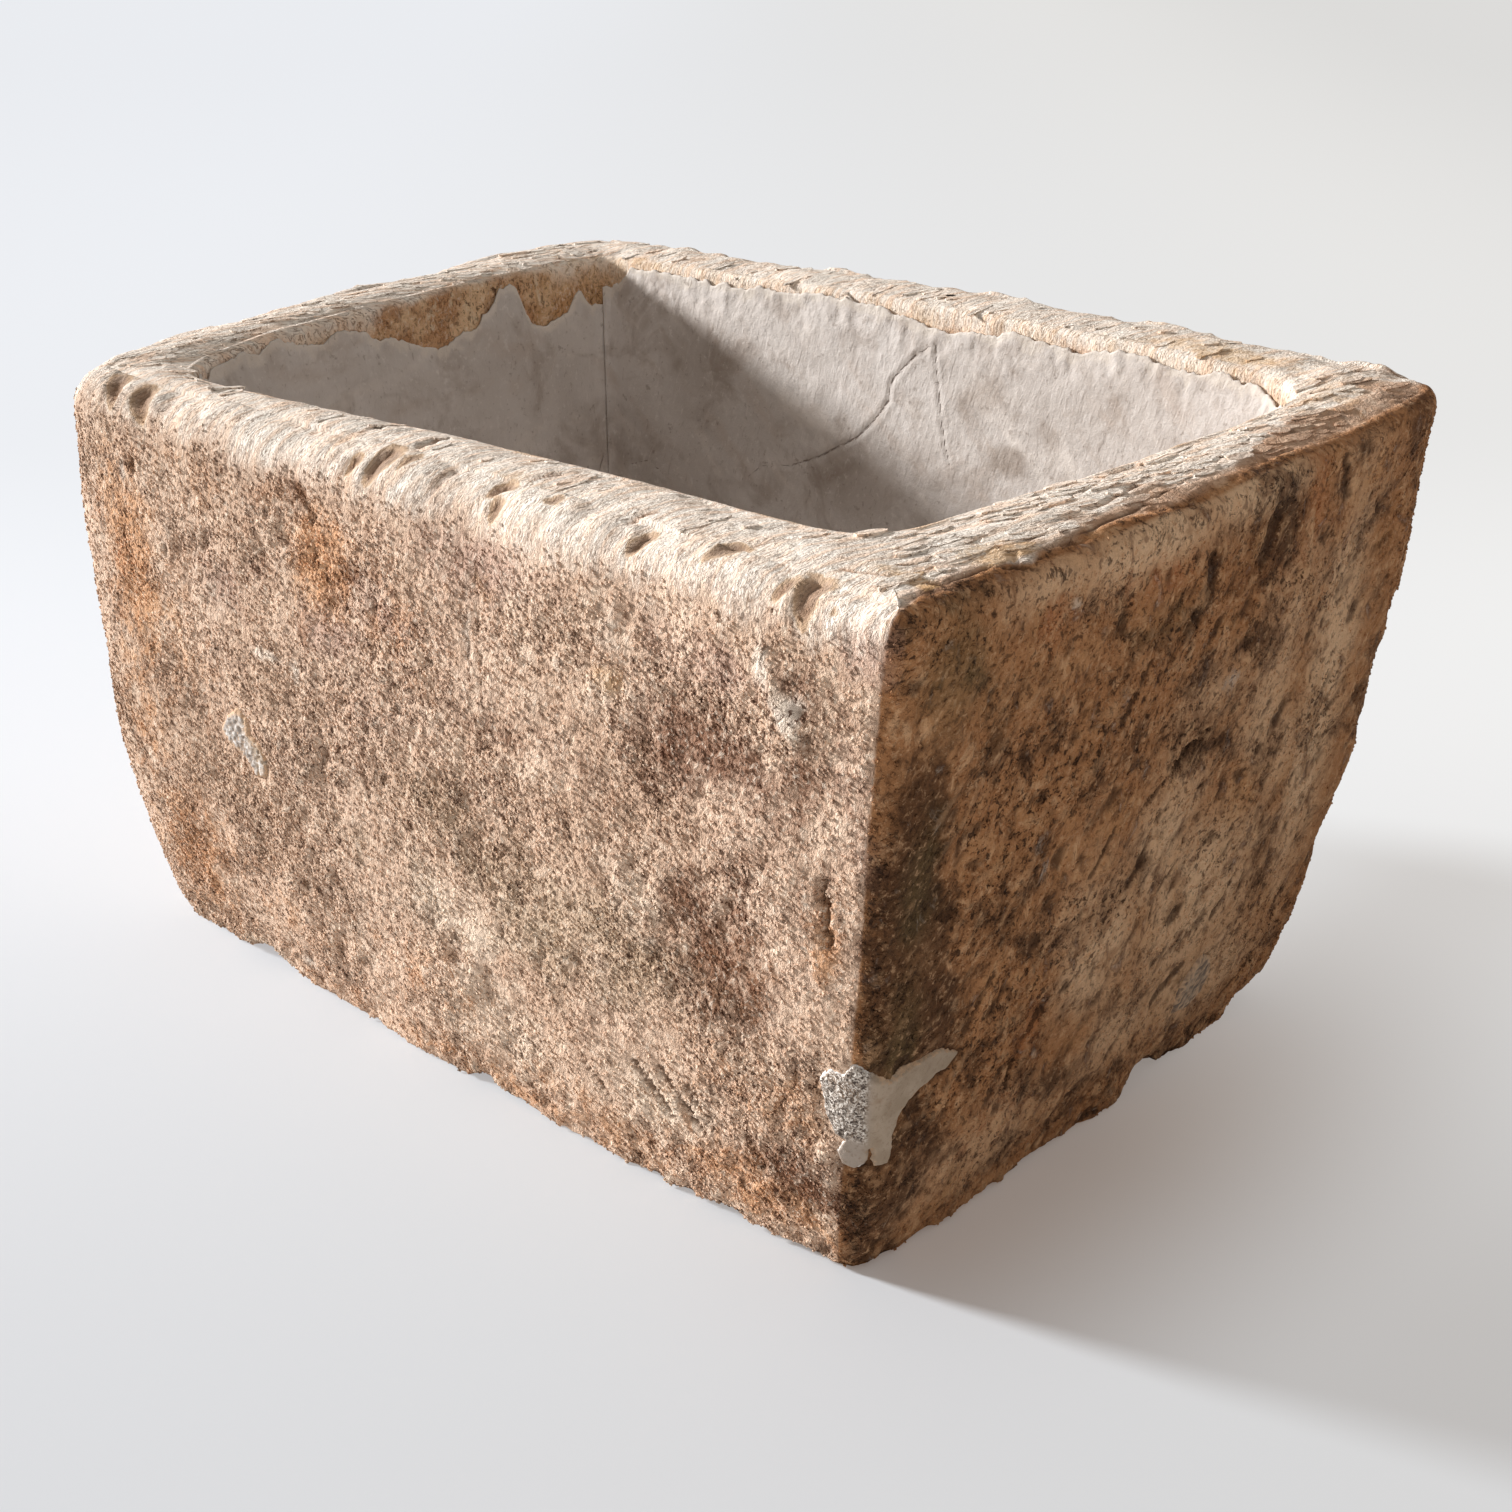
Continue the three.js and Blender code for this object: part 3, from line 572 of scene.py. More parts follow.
    # Painted shade in the hollows of the relief, and painted highlight on the bumps that stand above their
    # neighbours.
    hollow_shade = f.tint(f.tint((108, 74, 50), (64, 41, 25), brown), (196, 142, 100), worn)
    colour = f.wash(colour, hollow_shade, hollow, 0.12, 0.95, 0.72)
    high = f.tint((250, 234, 214), (206, 164, 124), brown)
    colour = f.wash(colour, high, hollow, -0.20, -1.0, 0.40)

    # Pick gouges: brown inside, darkening towards the middle as painted shade, with a painted highlight on
    # the broken lip.
    edge = f.plus(f.share("pick"), f.times(f.less(blot, 0.5), 0.8), f.times(f.less(grit, 0.5), 0.3))
    colour = f.wash(colour, (255, 240, 222), edge, 0.24, 0.42, 0.35)
    inside = f.tint((204, 166, 126), (138, 98, 66), f.between(edge, 0.52, 0.95))
    colour = f.wash(colour, inside, edge, 0.42, 0.62, 0.72)

    skin = f.less(f.plus(f.times(grain_here, 1.1), f.times(blot, 1.2)), f.times(fissure, 0.35))
    layered = f.plus(f.times(f.layers(strata, 8), 0.9), f.times(strata, 0.4), f.times(grit, 0.25))
    height = f.plus(f.blend(skin, f.less(layered, f.times(seam, 0.3)), worn), f.times(sand, 0.30))
    return f.done(colour, height, 0.9, 0.0026)


def cement_finish():
    f = Finish("cement_render", 0.9)
    broad = f.grain(0.11, 3, 0.6)
    cloud = f.grain(0.040, 4, 0.65, seed=9.2, swirl=0.6)
    sweep = f.grain(0.030, 4, 0.6, stretch=(2.4, 2.4, 0.8), turn=(0, 0.7, 0), seed=2.2)
    fine = f.grain(0.005, 4, 0.65, seed=4.0)
    scratch = f.grain(0.0030, 4, 0.65, stretch=(1, 1, 5), turn=(0, 0.25, 0), seed=3.3, swirl=0.5)
    sand = f.grain(0.0014, 2, 0.6, seed=6.0)
    line = f.between(f.plus(f.share("crack"), f.times(fine, 0.8)), 1.25, 0.55)
    colour = f.tint((201, 193, 187), (215, 208, 203), f.between(broad, 0.38, 0.62))
    colour = f.washes(
        colour, ((176, 164, 155), cloud, 0.48, 0.68, 0.75), ((230, 221, 213), sweep, 0.47, 0.28, 0.55),
        ((188, 172, 160), sweep, 0.53, 0.72, 0.5))
    colour = f.tint(colour, (146, 130, 117), f.times(f.broken(f.share("damp"), cloud, 0.35), 0.6))
    colour = f.tint(colour, (232, 222, 210), f.times(f.broken(f.share("lime"), fine, 0.4), 0.6))
    colour = f.washes(
        colour, ((142, 128, 118), fine, 0.60, 0.70, 0.5), ((232, 226, 221), fine, 0.42, 0.30, 0.4),
        ((146, 132, 122), scratch, 0.60, 0.74, 0.45), ((234, 227, 221), scratch, 0.42, 0.28, 0.35))
    colour = f.tint(colour, (112, 98, 88), f.times(line, 0.75))
    marks = f.plus(f.times(fine, 0.6), f.times(scratch, 0.5), f.times(sand, 0.18))
    return f.done(colour, f.less(f.plus(f.times(sweep, 0.9), marks), f.times(line, 0.5)), 0.6, 0.0016)


def mortar_finish():
    f = Finish("repair_mortar", 0.92)
    fine = f.grain(0.0026, 3, 0.65, seed=1.4, swirl=0.4)
    pepper = f.grain(0.0019, 2, 0.6, seed=4.6, swirl=1.2)
    patch = f.grain(0.018, 3, 0.55, seed=6.1)
    sand = f.grain(0.0013, 2, 0.6, seed=3.0)
    hollow, stipple = f.share("hollow"), f.share("stipple")
    colour = f.tint((168, 150, 131), (184, 167, 149), f.between(patch, 0.40, 0.62))
    colour = f.tint(colour, (176, 168, 164), f.times(f.share("cool"), 0.8))
    # Painted highlight where the hollow share is below 0, on crests and along an outline's edge, and painted
    # shade where it is above 0.
    colour = f.washes(
        colour, ((140, 122, 105), fine, 0.52, 0.68, 0.5), ((150, 122, 98), patch, 0.56, 0.70, 0.6),
        ((250, 243, 235), pepper, 0.51, 0.60, stipple), ((86, 77, 72), pepper, 0.48, 0.38, stipple),
        ((246, 242, 238), hollow, -0.10, -0.6, 0.9))
    colour = f.tint(colour, (212, 178, 146), f.times(f.broken(f.share("dust"), fine, 0.9, 0.3), 0.9))
    colour = f.wash(colour, (104, 94, 88), hollow, 0.10, 0.7, 0.85)
    height = f.plus(f.times(fine, 0.5), f.times(sand, 0.4), f.times(f.times(pepper, stipple), 2.0))
    return f.done(colour, height, 0.7, 0.0012)


# Stone block
STONE_BOX = [np.array(corner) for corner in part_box("stone_trough")]
DRAIN = MIDDLE + np.array([-DRAIN_SETBACK, 0])
# Rows of the block's grid over its wall, outer edge, rim, inner edge and the band of basin wall below that
WALL_ROWS, ARRIS_ROWS, RIM_ROWS, LIP_ROWS, BAND_ROWS = 111, 12, 34, 4, 20
BAND_STEP = 0.0026

# Pick gouges over the outer edge of the rim along the front: place along X, how far below the brow its
# middle lies, width, length, depth (mm), lean in degrees from upright towards the left foot.
FRONT_GOUGES = [
    (-269, 12, 5, 12, 2.2, -17), (-248, 14, 13, 30, 6, -30), (-221, 18, 15, 34, 7, -32),
    (-204, 11, 11, 25, 3, -18), (-171, 17, 13, 23, 3, -15), (-141, 15, 4, 13, 2, 20),
    (-42, 20, 8, 16, 4.5, 15), (-24, 15, 15, 30, 7, 14), (-8, 10, 7, 18, 4, 16), (55, 8, 11, 18, 4.5, 35),
    (61, 21, 9, 18, 5.5, -4), (91, 8, 7, 11, 4.5, 70), (98, 19, 4, 10, 2.4, 10), (152, 13, 10, 22, 4.5, 20),
    (143, 15, 7, 12, 2.6, -10), (183, 11, 8, 15, 2.6, 44), (198, 2, 13, 28, 4.5, 30),
    (238, 13, 9, 20, 4.5, 22), (251, 12, 15, 36, 7, -5), (266, 17, 6, 9, 3.5, 9), (234, 25, 5, 7, 2.5, 0),
    (-90, 16, 5, 12, 1.4, 24), (20, 18, 6, 12, 1.5, 20), (120, 20, 5, 12, 1.5, 24),
]
# The same on the hidden sides, by station round the block.
FAR_GOUGES = [
    (4.4, 16, 16, 34, 6, 30), (4.62, 14, 12, 38, 6, 26), (5.3, 14, 18, 34, 6, 34), (5.9, 12, 14, 30, 6, 30),
    (6.7, 14, 16, 36, 6, 36), (7.4, 14, 18, 32, 6, 30),
]
# Flakes lost from the bottom edge: station, length, height, depth (mm).
SPALLS = [
    (0.42, 46, 12, 9), (1.05, 23, 8, 3), (1.62, 28, 8, 3), (3.3, 41, 16, 9), (3.85, 46, 20, 11),
    (5.2, 41, 14, 9), (6.2, 46, 18, 10),
]
# Hollows, slots and lumps of the front, in mm: x and z of both ends, width, depth (negative stands proud).
FRONT_MARKS = [
    (67, 226, 69, 218, 6, 1.2), (-49, 168, -47, 158, 6, 1.2), (258, 214, 261, 184, 4, 3.0),
    (-101, 107, -95, 84, 3.2, 1.6), (48, 128, 50, 102, 3, 1.4), (136, 72, 158, 48, 4.5, 2.4),
    (152, 74, 176, 46, 4, 2.4), (168, 70, 184, 50, 3.4, 1.8), (231, 312, 243, 296, 8, -1.6),
    (241, 294, 249, 281, 12, -2.4), (41, 312, 43, 238, 3, 0.8), (49, 310, 51, 240, 3, 0.8),
    (-80, 314, -72, 302, 10, 1.4), (-205, 262, -203, 254, 4, 1.4), (-226, 300, -225, 294, 4, 1.8),
    (-170, 296, -169, 291, 4, 1.8), (-32, 296, -28, 288, 6, 1.2), (206, 58, 214, 44, 5, 1.6),
    (100, 60, 116, 40, 4, 1.8),
]
# The same on the right end, by y and z.
END_MARKS = [
    (-31, 191, 18, 221, 3.2, 2.8), (-6, 208, 8, 214, 7, 2.4), (17, 150, 2, 138, 2.4, 1.4),
    (2, 138, -3, 126, 2.4, 1.4), (-3, 126, 6, 117, 2.4, 1.4), (44, 322, 40, 300, 13, 2.2),
    (-6, 314, -2, 298, 9, 2.2), (-16, 290, -10, 284, 5, 2.2), (-140, 120, -126, 146, 6, 1.4),
    (-60, 250, -46, 276, 6, 1.4), (-92, 92, -82, 104, 7, 2.0), (-110, 323, -104, 320, 8, -2),
    (22, 60, 44, 74, 6, 1.8), (100, 30, 124, 44, 8, 2.2), (-98, 66, -95, 79, 5, 3),
    (104, 336, 110, 316, 8, 1.8), (60, 96, 74, 120, 5, 2.0), (-178, 120, -168, 92, 12, 2.2),
    (-64, 172, -48, 192, 5, 1.4), (-28, 156, -18, 168, 6, 1.8),
]
# Long cracks in the rim, by x and y of their bends, with width and depth.
RIM_CRACKS = [
    ([(288, -128), (286, -108), (284, -88), (283, -66), (281, -46), (279, -14)], 1.8, 1.5),
    ([(263, -135), (277, -130), (288, -128), (300, -137), (304, -131)], 2.0, 1.8),
    ([(250, -190), (270, -186), (292, -176), (293, -150), (301, -138)], 1.8, 1.4),
    ([(297, -95), (296, -60), (292, -24), (288, 14), (283, 64)], 1.6, 1.1),
    ([(268, -100), (268, -60), (264, -20), (262, 30)], 1.5, 1.1),
    ([(-296, -60), (-292, 0), (-290, 60)], 1.6, 1.2), ([(-59, -176), (-66, -190)], 2.4, 2.0),
    ([(-42, -167), (-45, -181)], 2.4, 2.0), ([(-17, -170), (-18, -186)], 3.2, 2.6),
    ([(144, -186), (137, -195)], 2.4, 2.0), ([(-120, -172), (-126, -186)], 2.0, 1.4),
    ([(70, -174), (64, -188)], 2.0, 1.4), ([(212, -178), (205, -192)], 2.0, 1.6),
    ([(-196, -170), (-203, -184)], 2.0, 1.4),
]

# Stains of the front as soft round patches: x, z, half width and half height in mm, strength.
FRONT_STAINS = {
    "iron": [
        (-236, 244, 26, 66, 0.85), (-66, 280, 26, 32, 0.9), (-90, 310, 22, 12, 0.5), (-223, 60, 40, 50, 0.6),
        (-130, 60, 70, 26, 0.25), (130, 26, 90, 14, 0.4), (40, 12, 240, 12, 0.4), (258, 186, 7, 22, 0.7),
        (-180, 300, 34, 22, 0.3), (-10, 250, 40, 26, 0.35), (205, 150, 34, 30, 0.35),
        (-250, 150, 24, 70, 0.45), (220, 90, 40, 26, 0.4), (-200, 210, 30, 40, 0.35), (210, 30, 70, 24, 0.6),
        (-10, 60, 60, 24, 0.35)],
    "umber": [
        (194, 257, 50, 22, 0.95), (198, 160, 36, 46, 0.80), (160, 238, 40, 14, 0.45),
        (250, 250, 24, 44, 0.60), (238, 46, 36, 20, 0.85), (-108, 138, 34, 20, 0.22),
        (60, 226, 60, 14, 0.40), (-84, 312, 14, 12, 0.7), (-42, 278, 12, 14, 0.6), (10, 236, 70, 20, 0.35),
        (262, 296, 20, 24, 0.55), (150, 26, 30, 12, 0.4), (-60, 262, 10, 10, 0.5)],
    "lichen": [(97, 132, 86, 44, 0.7), (-60, 128, 60, 44, 0.3), (10, 168, 60, 34, 0.4),
               (262, 110, 20, 50, 0.4)],
    "plum": [
        (55, 306, 70, 26, 0.75), (286, 326, 18, 24, 0.7), (200, 300, 54, 22, 0.6), (-150, 250, 44, 50, 0.4),
        (-63, 246, 30, 20, 0.75), (-30, 262, 60, 22, 0.55), (-40, 200, 90, 50, 0.3), (276, 250, 20, 50, 0.5)],
    "chalk": [
        (231, 307, 6, 12, 0.8), (246, 287, 9, 10, 1.0), (44, 274, 4, 38, 0.45), (40, 236, 14, 12, 0.45),
        (-120, 216, 16, 4, 0.65), (-96, 212, 4, 8, 0.6), (-235, 293, 4, 9, 0.8), (299, 290, 3, 26, 0.55),
        (-132, 20, 12, 5, 0.8), (110, 268, 20, 12, 0.3), (140, 300, 10, 12, 0.4), (170, 318, 8, 18, 0.45)],
    "ochre": [(139, 273, 12, 9, 0.6), (50, 292, 22, 12, 0.3)],
    # Tan: paler patches; those low on the front, near the foot, are partly painted light bounced from the
    # floor.
    "tan": [
        (12, 112, 60, 30, 0.8), (38, 54, 60, 30, 1.0), (143, 56, 48, 24, 1.0), (-70, 60, 60, 30, 0.45),
        (-160, 40, 50, 26, 0.35), (-170, 240, 30, 60, 0.25), (20, 150, 30, 20, 0.4),
        (150, 172, 34, 24, 0.7), (140, 266, 30, 16, 0.7), (-107, 136, 30, 20, 0.4)],
}
# The same on the right end, by y and z.
END_STAINS = {
    "umber": [
        (48, 314, 26, 24, 1.0), (-4, 310, 10, 22, 0.85), (112, 330, 24, 18, 0.6), (-16, 288, 9, 12, 0.7),
        (-88, 96, 30, 30, 0.4), (-118, 284, 18, 9, 0.6), (-100, 250, 50, 22, 0.25), (-60, 232, 50, 14, 0.4),
        (-62, 55, 28, 18, 0.5), (41, 262, 26, 16, 0.3), (-120, 180, 40, 50, 0.50), (-186, 240, 18, 60, 0.75),
        (-178, 170, 22, 50, 0.95), (-166, 128, 26, 40, 0.95), (-176, 50, 20, 40, 0.8),
        (-22, 160, 12, 12, 0.65), (72, 178, 18, 14, 0.6), (94, 132, 14, 28, 0.6), (-30, 30, 120, 12, 0.4),
        (14, 212, 26, 8, 0.65), (-150, 70, 30, 24, 0.5), (8, 252, 30, 10, 0.4), (130, 280, 10, 40, 0.4)],
    "lichen": [
        (-180, 310, 28, 36, 0.8), (-184, 214, 14, 60, 0.6), (-184, 130, 14, 60, 0.8),
        (-140, 290, 40, 20, 0.45), (-40, 296, 40, 20, 0.4), (52, 60, 14, 18, 0.5)],
    "iron": [
        (-88, 98, 9, 18, 0.9), (-40, 318, 40, 14, 0.5), (-118, 316, 12, 16, 0.7), (80, 320, 12, 30, 0.55),
        (-110, 52, 40, 14, 0.4), (60, 300, 60, 20, 0.3)],
    "chalk": [(-108, 322, 5, 3, 0.7), (-96, 188, 10, 6, 0.4), (30, 244, 10, 6, 0.35)],
    "tan": [
        (126, 200, 26, 130, 0.95), (40, 120, 60, 60, 0.9), (60, 60, 70, 36, 0.75), (-42, 123, 34, 40, 0.9),
        (-10, 60, 40, 30, 0.7), (0, 170, 34, 50, 0.75), (20, 240, 40, 20, 0.5), (-52, 334, 60, 18, 0.95),
        (24, 340, 50, 16, 0.95), (-120, 334, 40, 14, 0.7), (79, 270, 30, 40, 0.55), (91, 185, 24, 40, 0.6),
        (-110, 40, 60, 30, 0.6), (-60, 150, 30, 50, 0.5), (70, 220, 30, 50, 0.7), (-150, 30, 40, 20, 0.35)],
}
# Umber along the near corner (y, z), ochre on the rim (x, y), iron on the bare stone in the mouth (y, z).
CORNER_UMBER = [
    (-198, 236, 20, 60, 0.50), (-196, 170, 25, 56, 0.72), (-190, 118, 25, 46, 0.70),
    (-180, 50, 22, 36, 0.6),
]
RIM_OCHRE = [
    (290, -134, 14, 16, 1.0), (303, -118, 8, 22, 0.9), (285, -182, 26, 7, 0.8), (60, -190, 60, 8, 0.35),
    (-240, 60, 14, 60, 0.3), (196, 180, 56, 18, 0.75), (275, 150, 26, 40, 0.45),
]
MOUTH_IRON = [(0, 326, 70, 30, 0.7), (108, 322, 34, 24, 0.7)]
# Where the skin is whole and smooth: on the front by x and z, on the end by y and z.
FRONT_SKIN = [(150, 312, 120, 18, 0.5), (-30, 306, 90, 18, 0.4), (46, 270, 12, 40, 0.5)]
END_SKIN = [(160, 180, 14, 130, 0.8), (0, 90, 90, 34, 0.4), (36, 190, 40, 24, 0.4)]
# Mortar repairs: how their places run (x, y, or along the surface from the near corner), the height in mm
# that this is measured at, the stretch of columns, and the outline in mm.
REPAIRS = {
    "corner_mortar": ("corner_repair", "run", 95, (14, 30), [
        (-25, 111), (-21, 119), (-13, 120), (-8, 127), (-3, 126), (0, 122), (3, 119.5), (7, 118), (13, 116),
        (20, 117), (29, 119), (38, 119), (49, 116), (56, 110), (49, 105), (39, 103), (30, 101), (23, 97),
        (18, 91), (15, 81), (15, 73), (13, 66), (6, 68), (4.5, 73), (4, 79), (2.5, 79), (2, 72), (-3, 67),
        (-10, 68), (-13.5, 75), (-9, 83), (-15, 84), (-19, 91), (-22, 101)]),
    "front_mortar": ("front_fill", "x", 155, (3, 19), [
        (-174, 158), (-166, 169), (-156, 176), (-148, 171), (-147, 162), (-139, 158), (-133, 149),
        (-137, 139), (-146, 137), (-151, 143), (-159, 148), (-168, 150)]),
    "end_mortar": ("end_fill", "y", 56, (25, 37), [
        (49, 42), (47, 56), (53, 67), (62, 73), (71, 68), (77, 56), (74, 44), (64, 39)]),
}


def repair_track(repair):
    """Columns over the stretch of a repair, and the place in mm that each stands for."""
    _, axis, height, stretch, _ = repair
    column = np.linspace(*stretch, 500)
    plan = (outside(column, np.full(column.shape, height / 1000)) + MIDDLE) * 1000
    if axis == "run":
        run = np.concatenate([[0], np.cumsum(np.linalg.norm(np.diff(plan, axis=0), axis=-1))])
        return column, run - np.interp(SIDE_STARTS[1], column, run)
    return column, plan[:, "xy".index(axis)]


def inside_depth(u, v, corners):
    """Distance from an outline, positive inside it."""
    nearest = line_distance(u, v, corners + corners[:1])
    crossings = np.zeros(u.shape, int)
    for a, b in zip(corners, corners[1:] + corners[:1]):
        spans = (a[1] > v) != (b[1] > v)
        rise = b[1] - a[1] if b[1] != a[1] else 1.0
        crossings += spans & (u < a[0] + (v - a[1]) / rise * (b[0] - a[0]))
    return np.where(crossings % 2 == 1, nearest, -nearest)


def repair_depth(repair, column, z):
    """How far inside a repair's outline each place lies, in mm."""
    track, place = repair_track(repair)
    u = np.interp(column, track, place) * np.ones_like(z)
    return inside_depth(u, z * 1000, repair[-1])


def segment_distance(u, v, a, b):
    """Distance of places (u, v) from the straight line between a and b."""
    du, dv = b[0] - a[0], b[1] - a[1]
    t = np.clip(((u - a[0]) * du + (v - a[1]) * dv) / max(du * du + dv * dv, 1e-12), 0, 1)
    return np.hypot(u - a[0] - t * du, v - a[1] - t * dv)


def line_distance(u, v, bends):
    """Distance of places (u, v) from a line with bends."""
    return np.minimum.reduce([segment_distance(u, v, a, b) for a, b in zip(bends[:-1], bends[1:])])


def turned_place(du, dv, lean, width, length):
    """Places across and along a leaning mark, in its half widths and half lengths."""
    a = math.radians(lean)
    across = (du * math.cos(a) + dv * math.sin(a)) / (width / 2)
    return across, (-du * math.sin(a) + dv * math.cos(a)) / (length / 2)


def marks_relief(u, v, marks, wobble):
    total = np.zeros_like(u)
    for u0, v0, u1, v1, width, depth in marks:
        d = segment_distance(u * 1000 + wobble, v * 1000 + wobble, (u0, v0), (u1, v1))
        total -= depth / 1000 * np.clip(1 - (d / (width / 2)) ** 2, 0, 1) ** 0.8
    return total


def patches(u, v, spots):
    """Share 0 to 1 of soft round stains: u, v, half width, half height in mm, strength."""
    total = np.zeros_like(u)
    for u0, v0, ru, rv, strength in spots:
        spot = np.exp(-((u * 1000 - u0) / ru) ** 2 - ((v * 1000 - v0) / rv) ** 2)
        total = np.maximum(total, strength * spot)
    return total


def block_rows(column):
    """Grid of the bare block, ring by ring: underside, foot, wall, outer edge, rim, inner edge, the band of
    basin wall that shows, the lined wall, floor and bore. Also the row where each stretch starts."""
    station = station_of(column)
    foot = FOOT_RISE * around(FOOT_RISES, station)
    arris = OUTER_ARRIS * around(ARRISES, station)
    rim = rim_height(column)
    rows, starts = [], {}

    foot_plan = outside(column, foot)
    foot_out = plan_outward(lambda c: outside(c, foot), column)
    resting = foot_plan - foot_out * FOOT_BREAK
    drain = DRAIN - MIDDLE + unit(resting + MIDDLE - DRAIN) * DRAIN_RADIUS
    for t in (0, 0.12, 0.4, 0.75, 0.94):
        rows.append(lift(mix(drain, resting, t), 0.0))
    starts["foot"] = len(rows)
    for t in (0, 0.35, 0.7):
        turn = t * np.pi / 2
        plan = foot_plan - foot_out * FOOT_BREAK * (1 - math.sin(turn))
        rows.append(lift(plan, foot * (1 - math.cos(turn))))

    starts["wall"] = len(rows)
    top = rim - RIM_CROWN - arris
    for i in range(WALL_ROWS):
        height = mix(foot, top, i / WALL_ROWS)
        rows.append(lift(outside(column, height), height))
    starts["arris"] = len(rows)
    for i in range(ARRIS_ROWS + 1):
        turn = i / ARRIS_ROWS * np.pi / 2
        height = top + arris * math.sin(turn)
        out = plan_outward(lambda c: outside(c, height), column)
        rows.append(lift(outside(column, height) - out * (arris * (1 - math.cos(turn)))[:, None], height))
    brow = rows[-1][:, :2] - MIDDLE
    basin_out = plan_outward(basin_rim, column)
    lip = basin(column, rim) + basin_out * INNER_ARRIS

    starts["rim"] = len(rows)
    for i in range(1, RIM_ROWS):
        t = i / RIM_ROWS
        rows.append(lift(mix(brow, lip, t), rim - RIM_CROWN * (1 - 4 * t * (1 - t))))
    starts["lip"] = len(rows)
    for i in range(LIP_ROWS):
        turn = i / LIP_ROWS * np.pi / 2
        height = rim - RIM_CROWN - INNER_ARRIS * (1 - math.cos(turn))
        rows.append(lift(basin(column, height) + basin_out * INNER_ARRIS * (1 - math.sin(turn)), height))
    for i in range(BAND_ROWS):
        height = rim - RIM_CROWN - INNER_ARRIS - i * BAND_STEP
        rows.append(lift(basin(column, height), height))
    starts["lined"] = len(rows)
    bottom = rim - RIM_CROWN - INNER_ARRIS - BAND_ROWS * BAND_STEP
    for t in (0, 0.25, 0.55, 0.85):
        height = mix(bottom, FLOOR, t)
        rows.append(lift(basin(column, height), height))
    edge = basin(column, np.full(len(column), FLOOR))
    for t in (0, 0.3, 0.7):
        rows.append(lift(mix(edge, drain, t), FLOOR))
    for height in (FLOOR, FLOOR / 2):
        rows.append(lift(drain, height))
    return np.stack(rows), starts


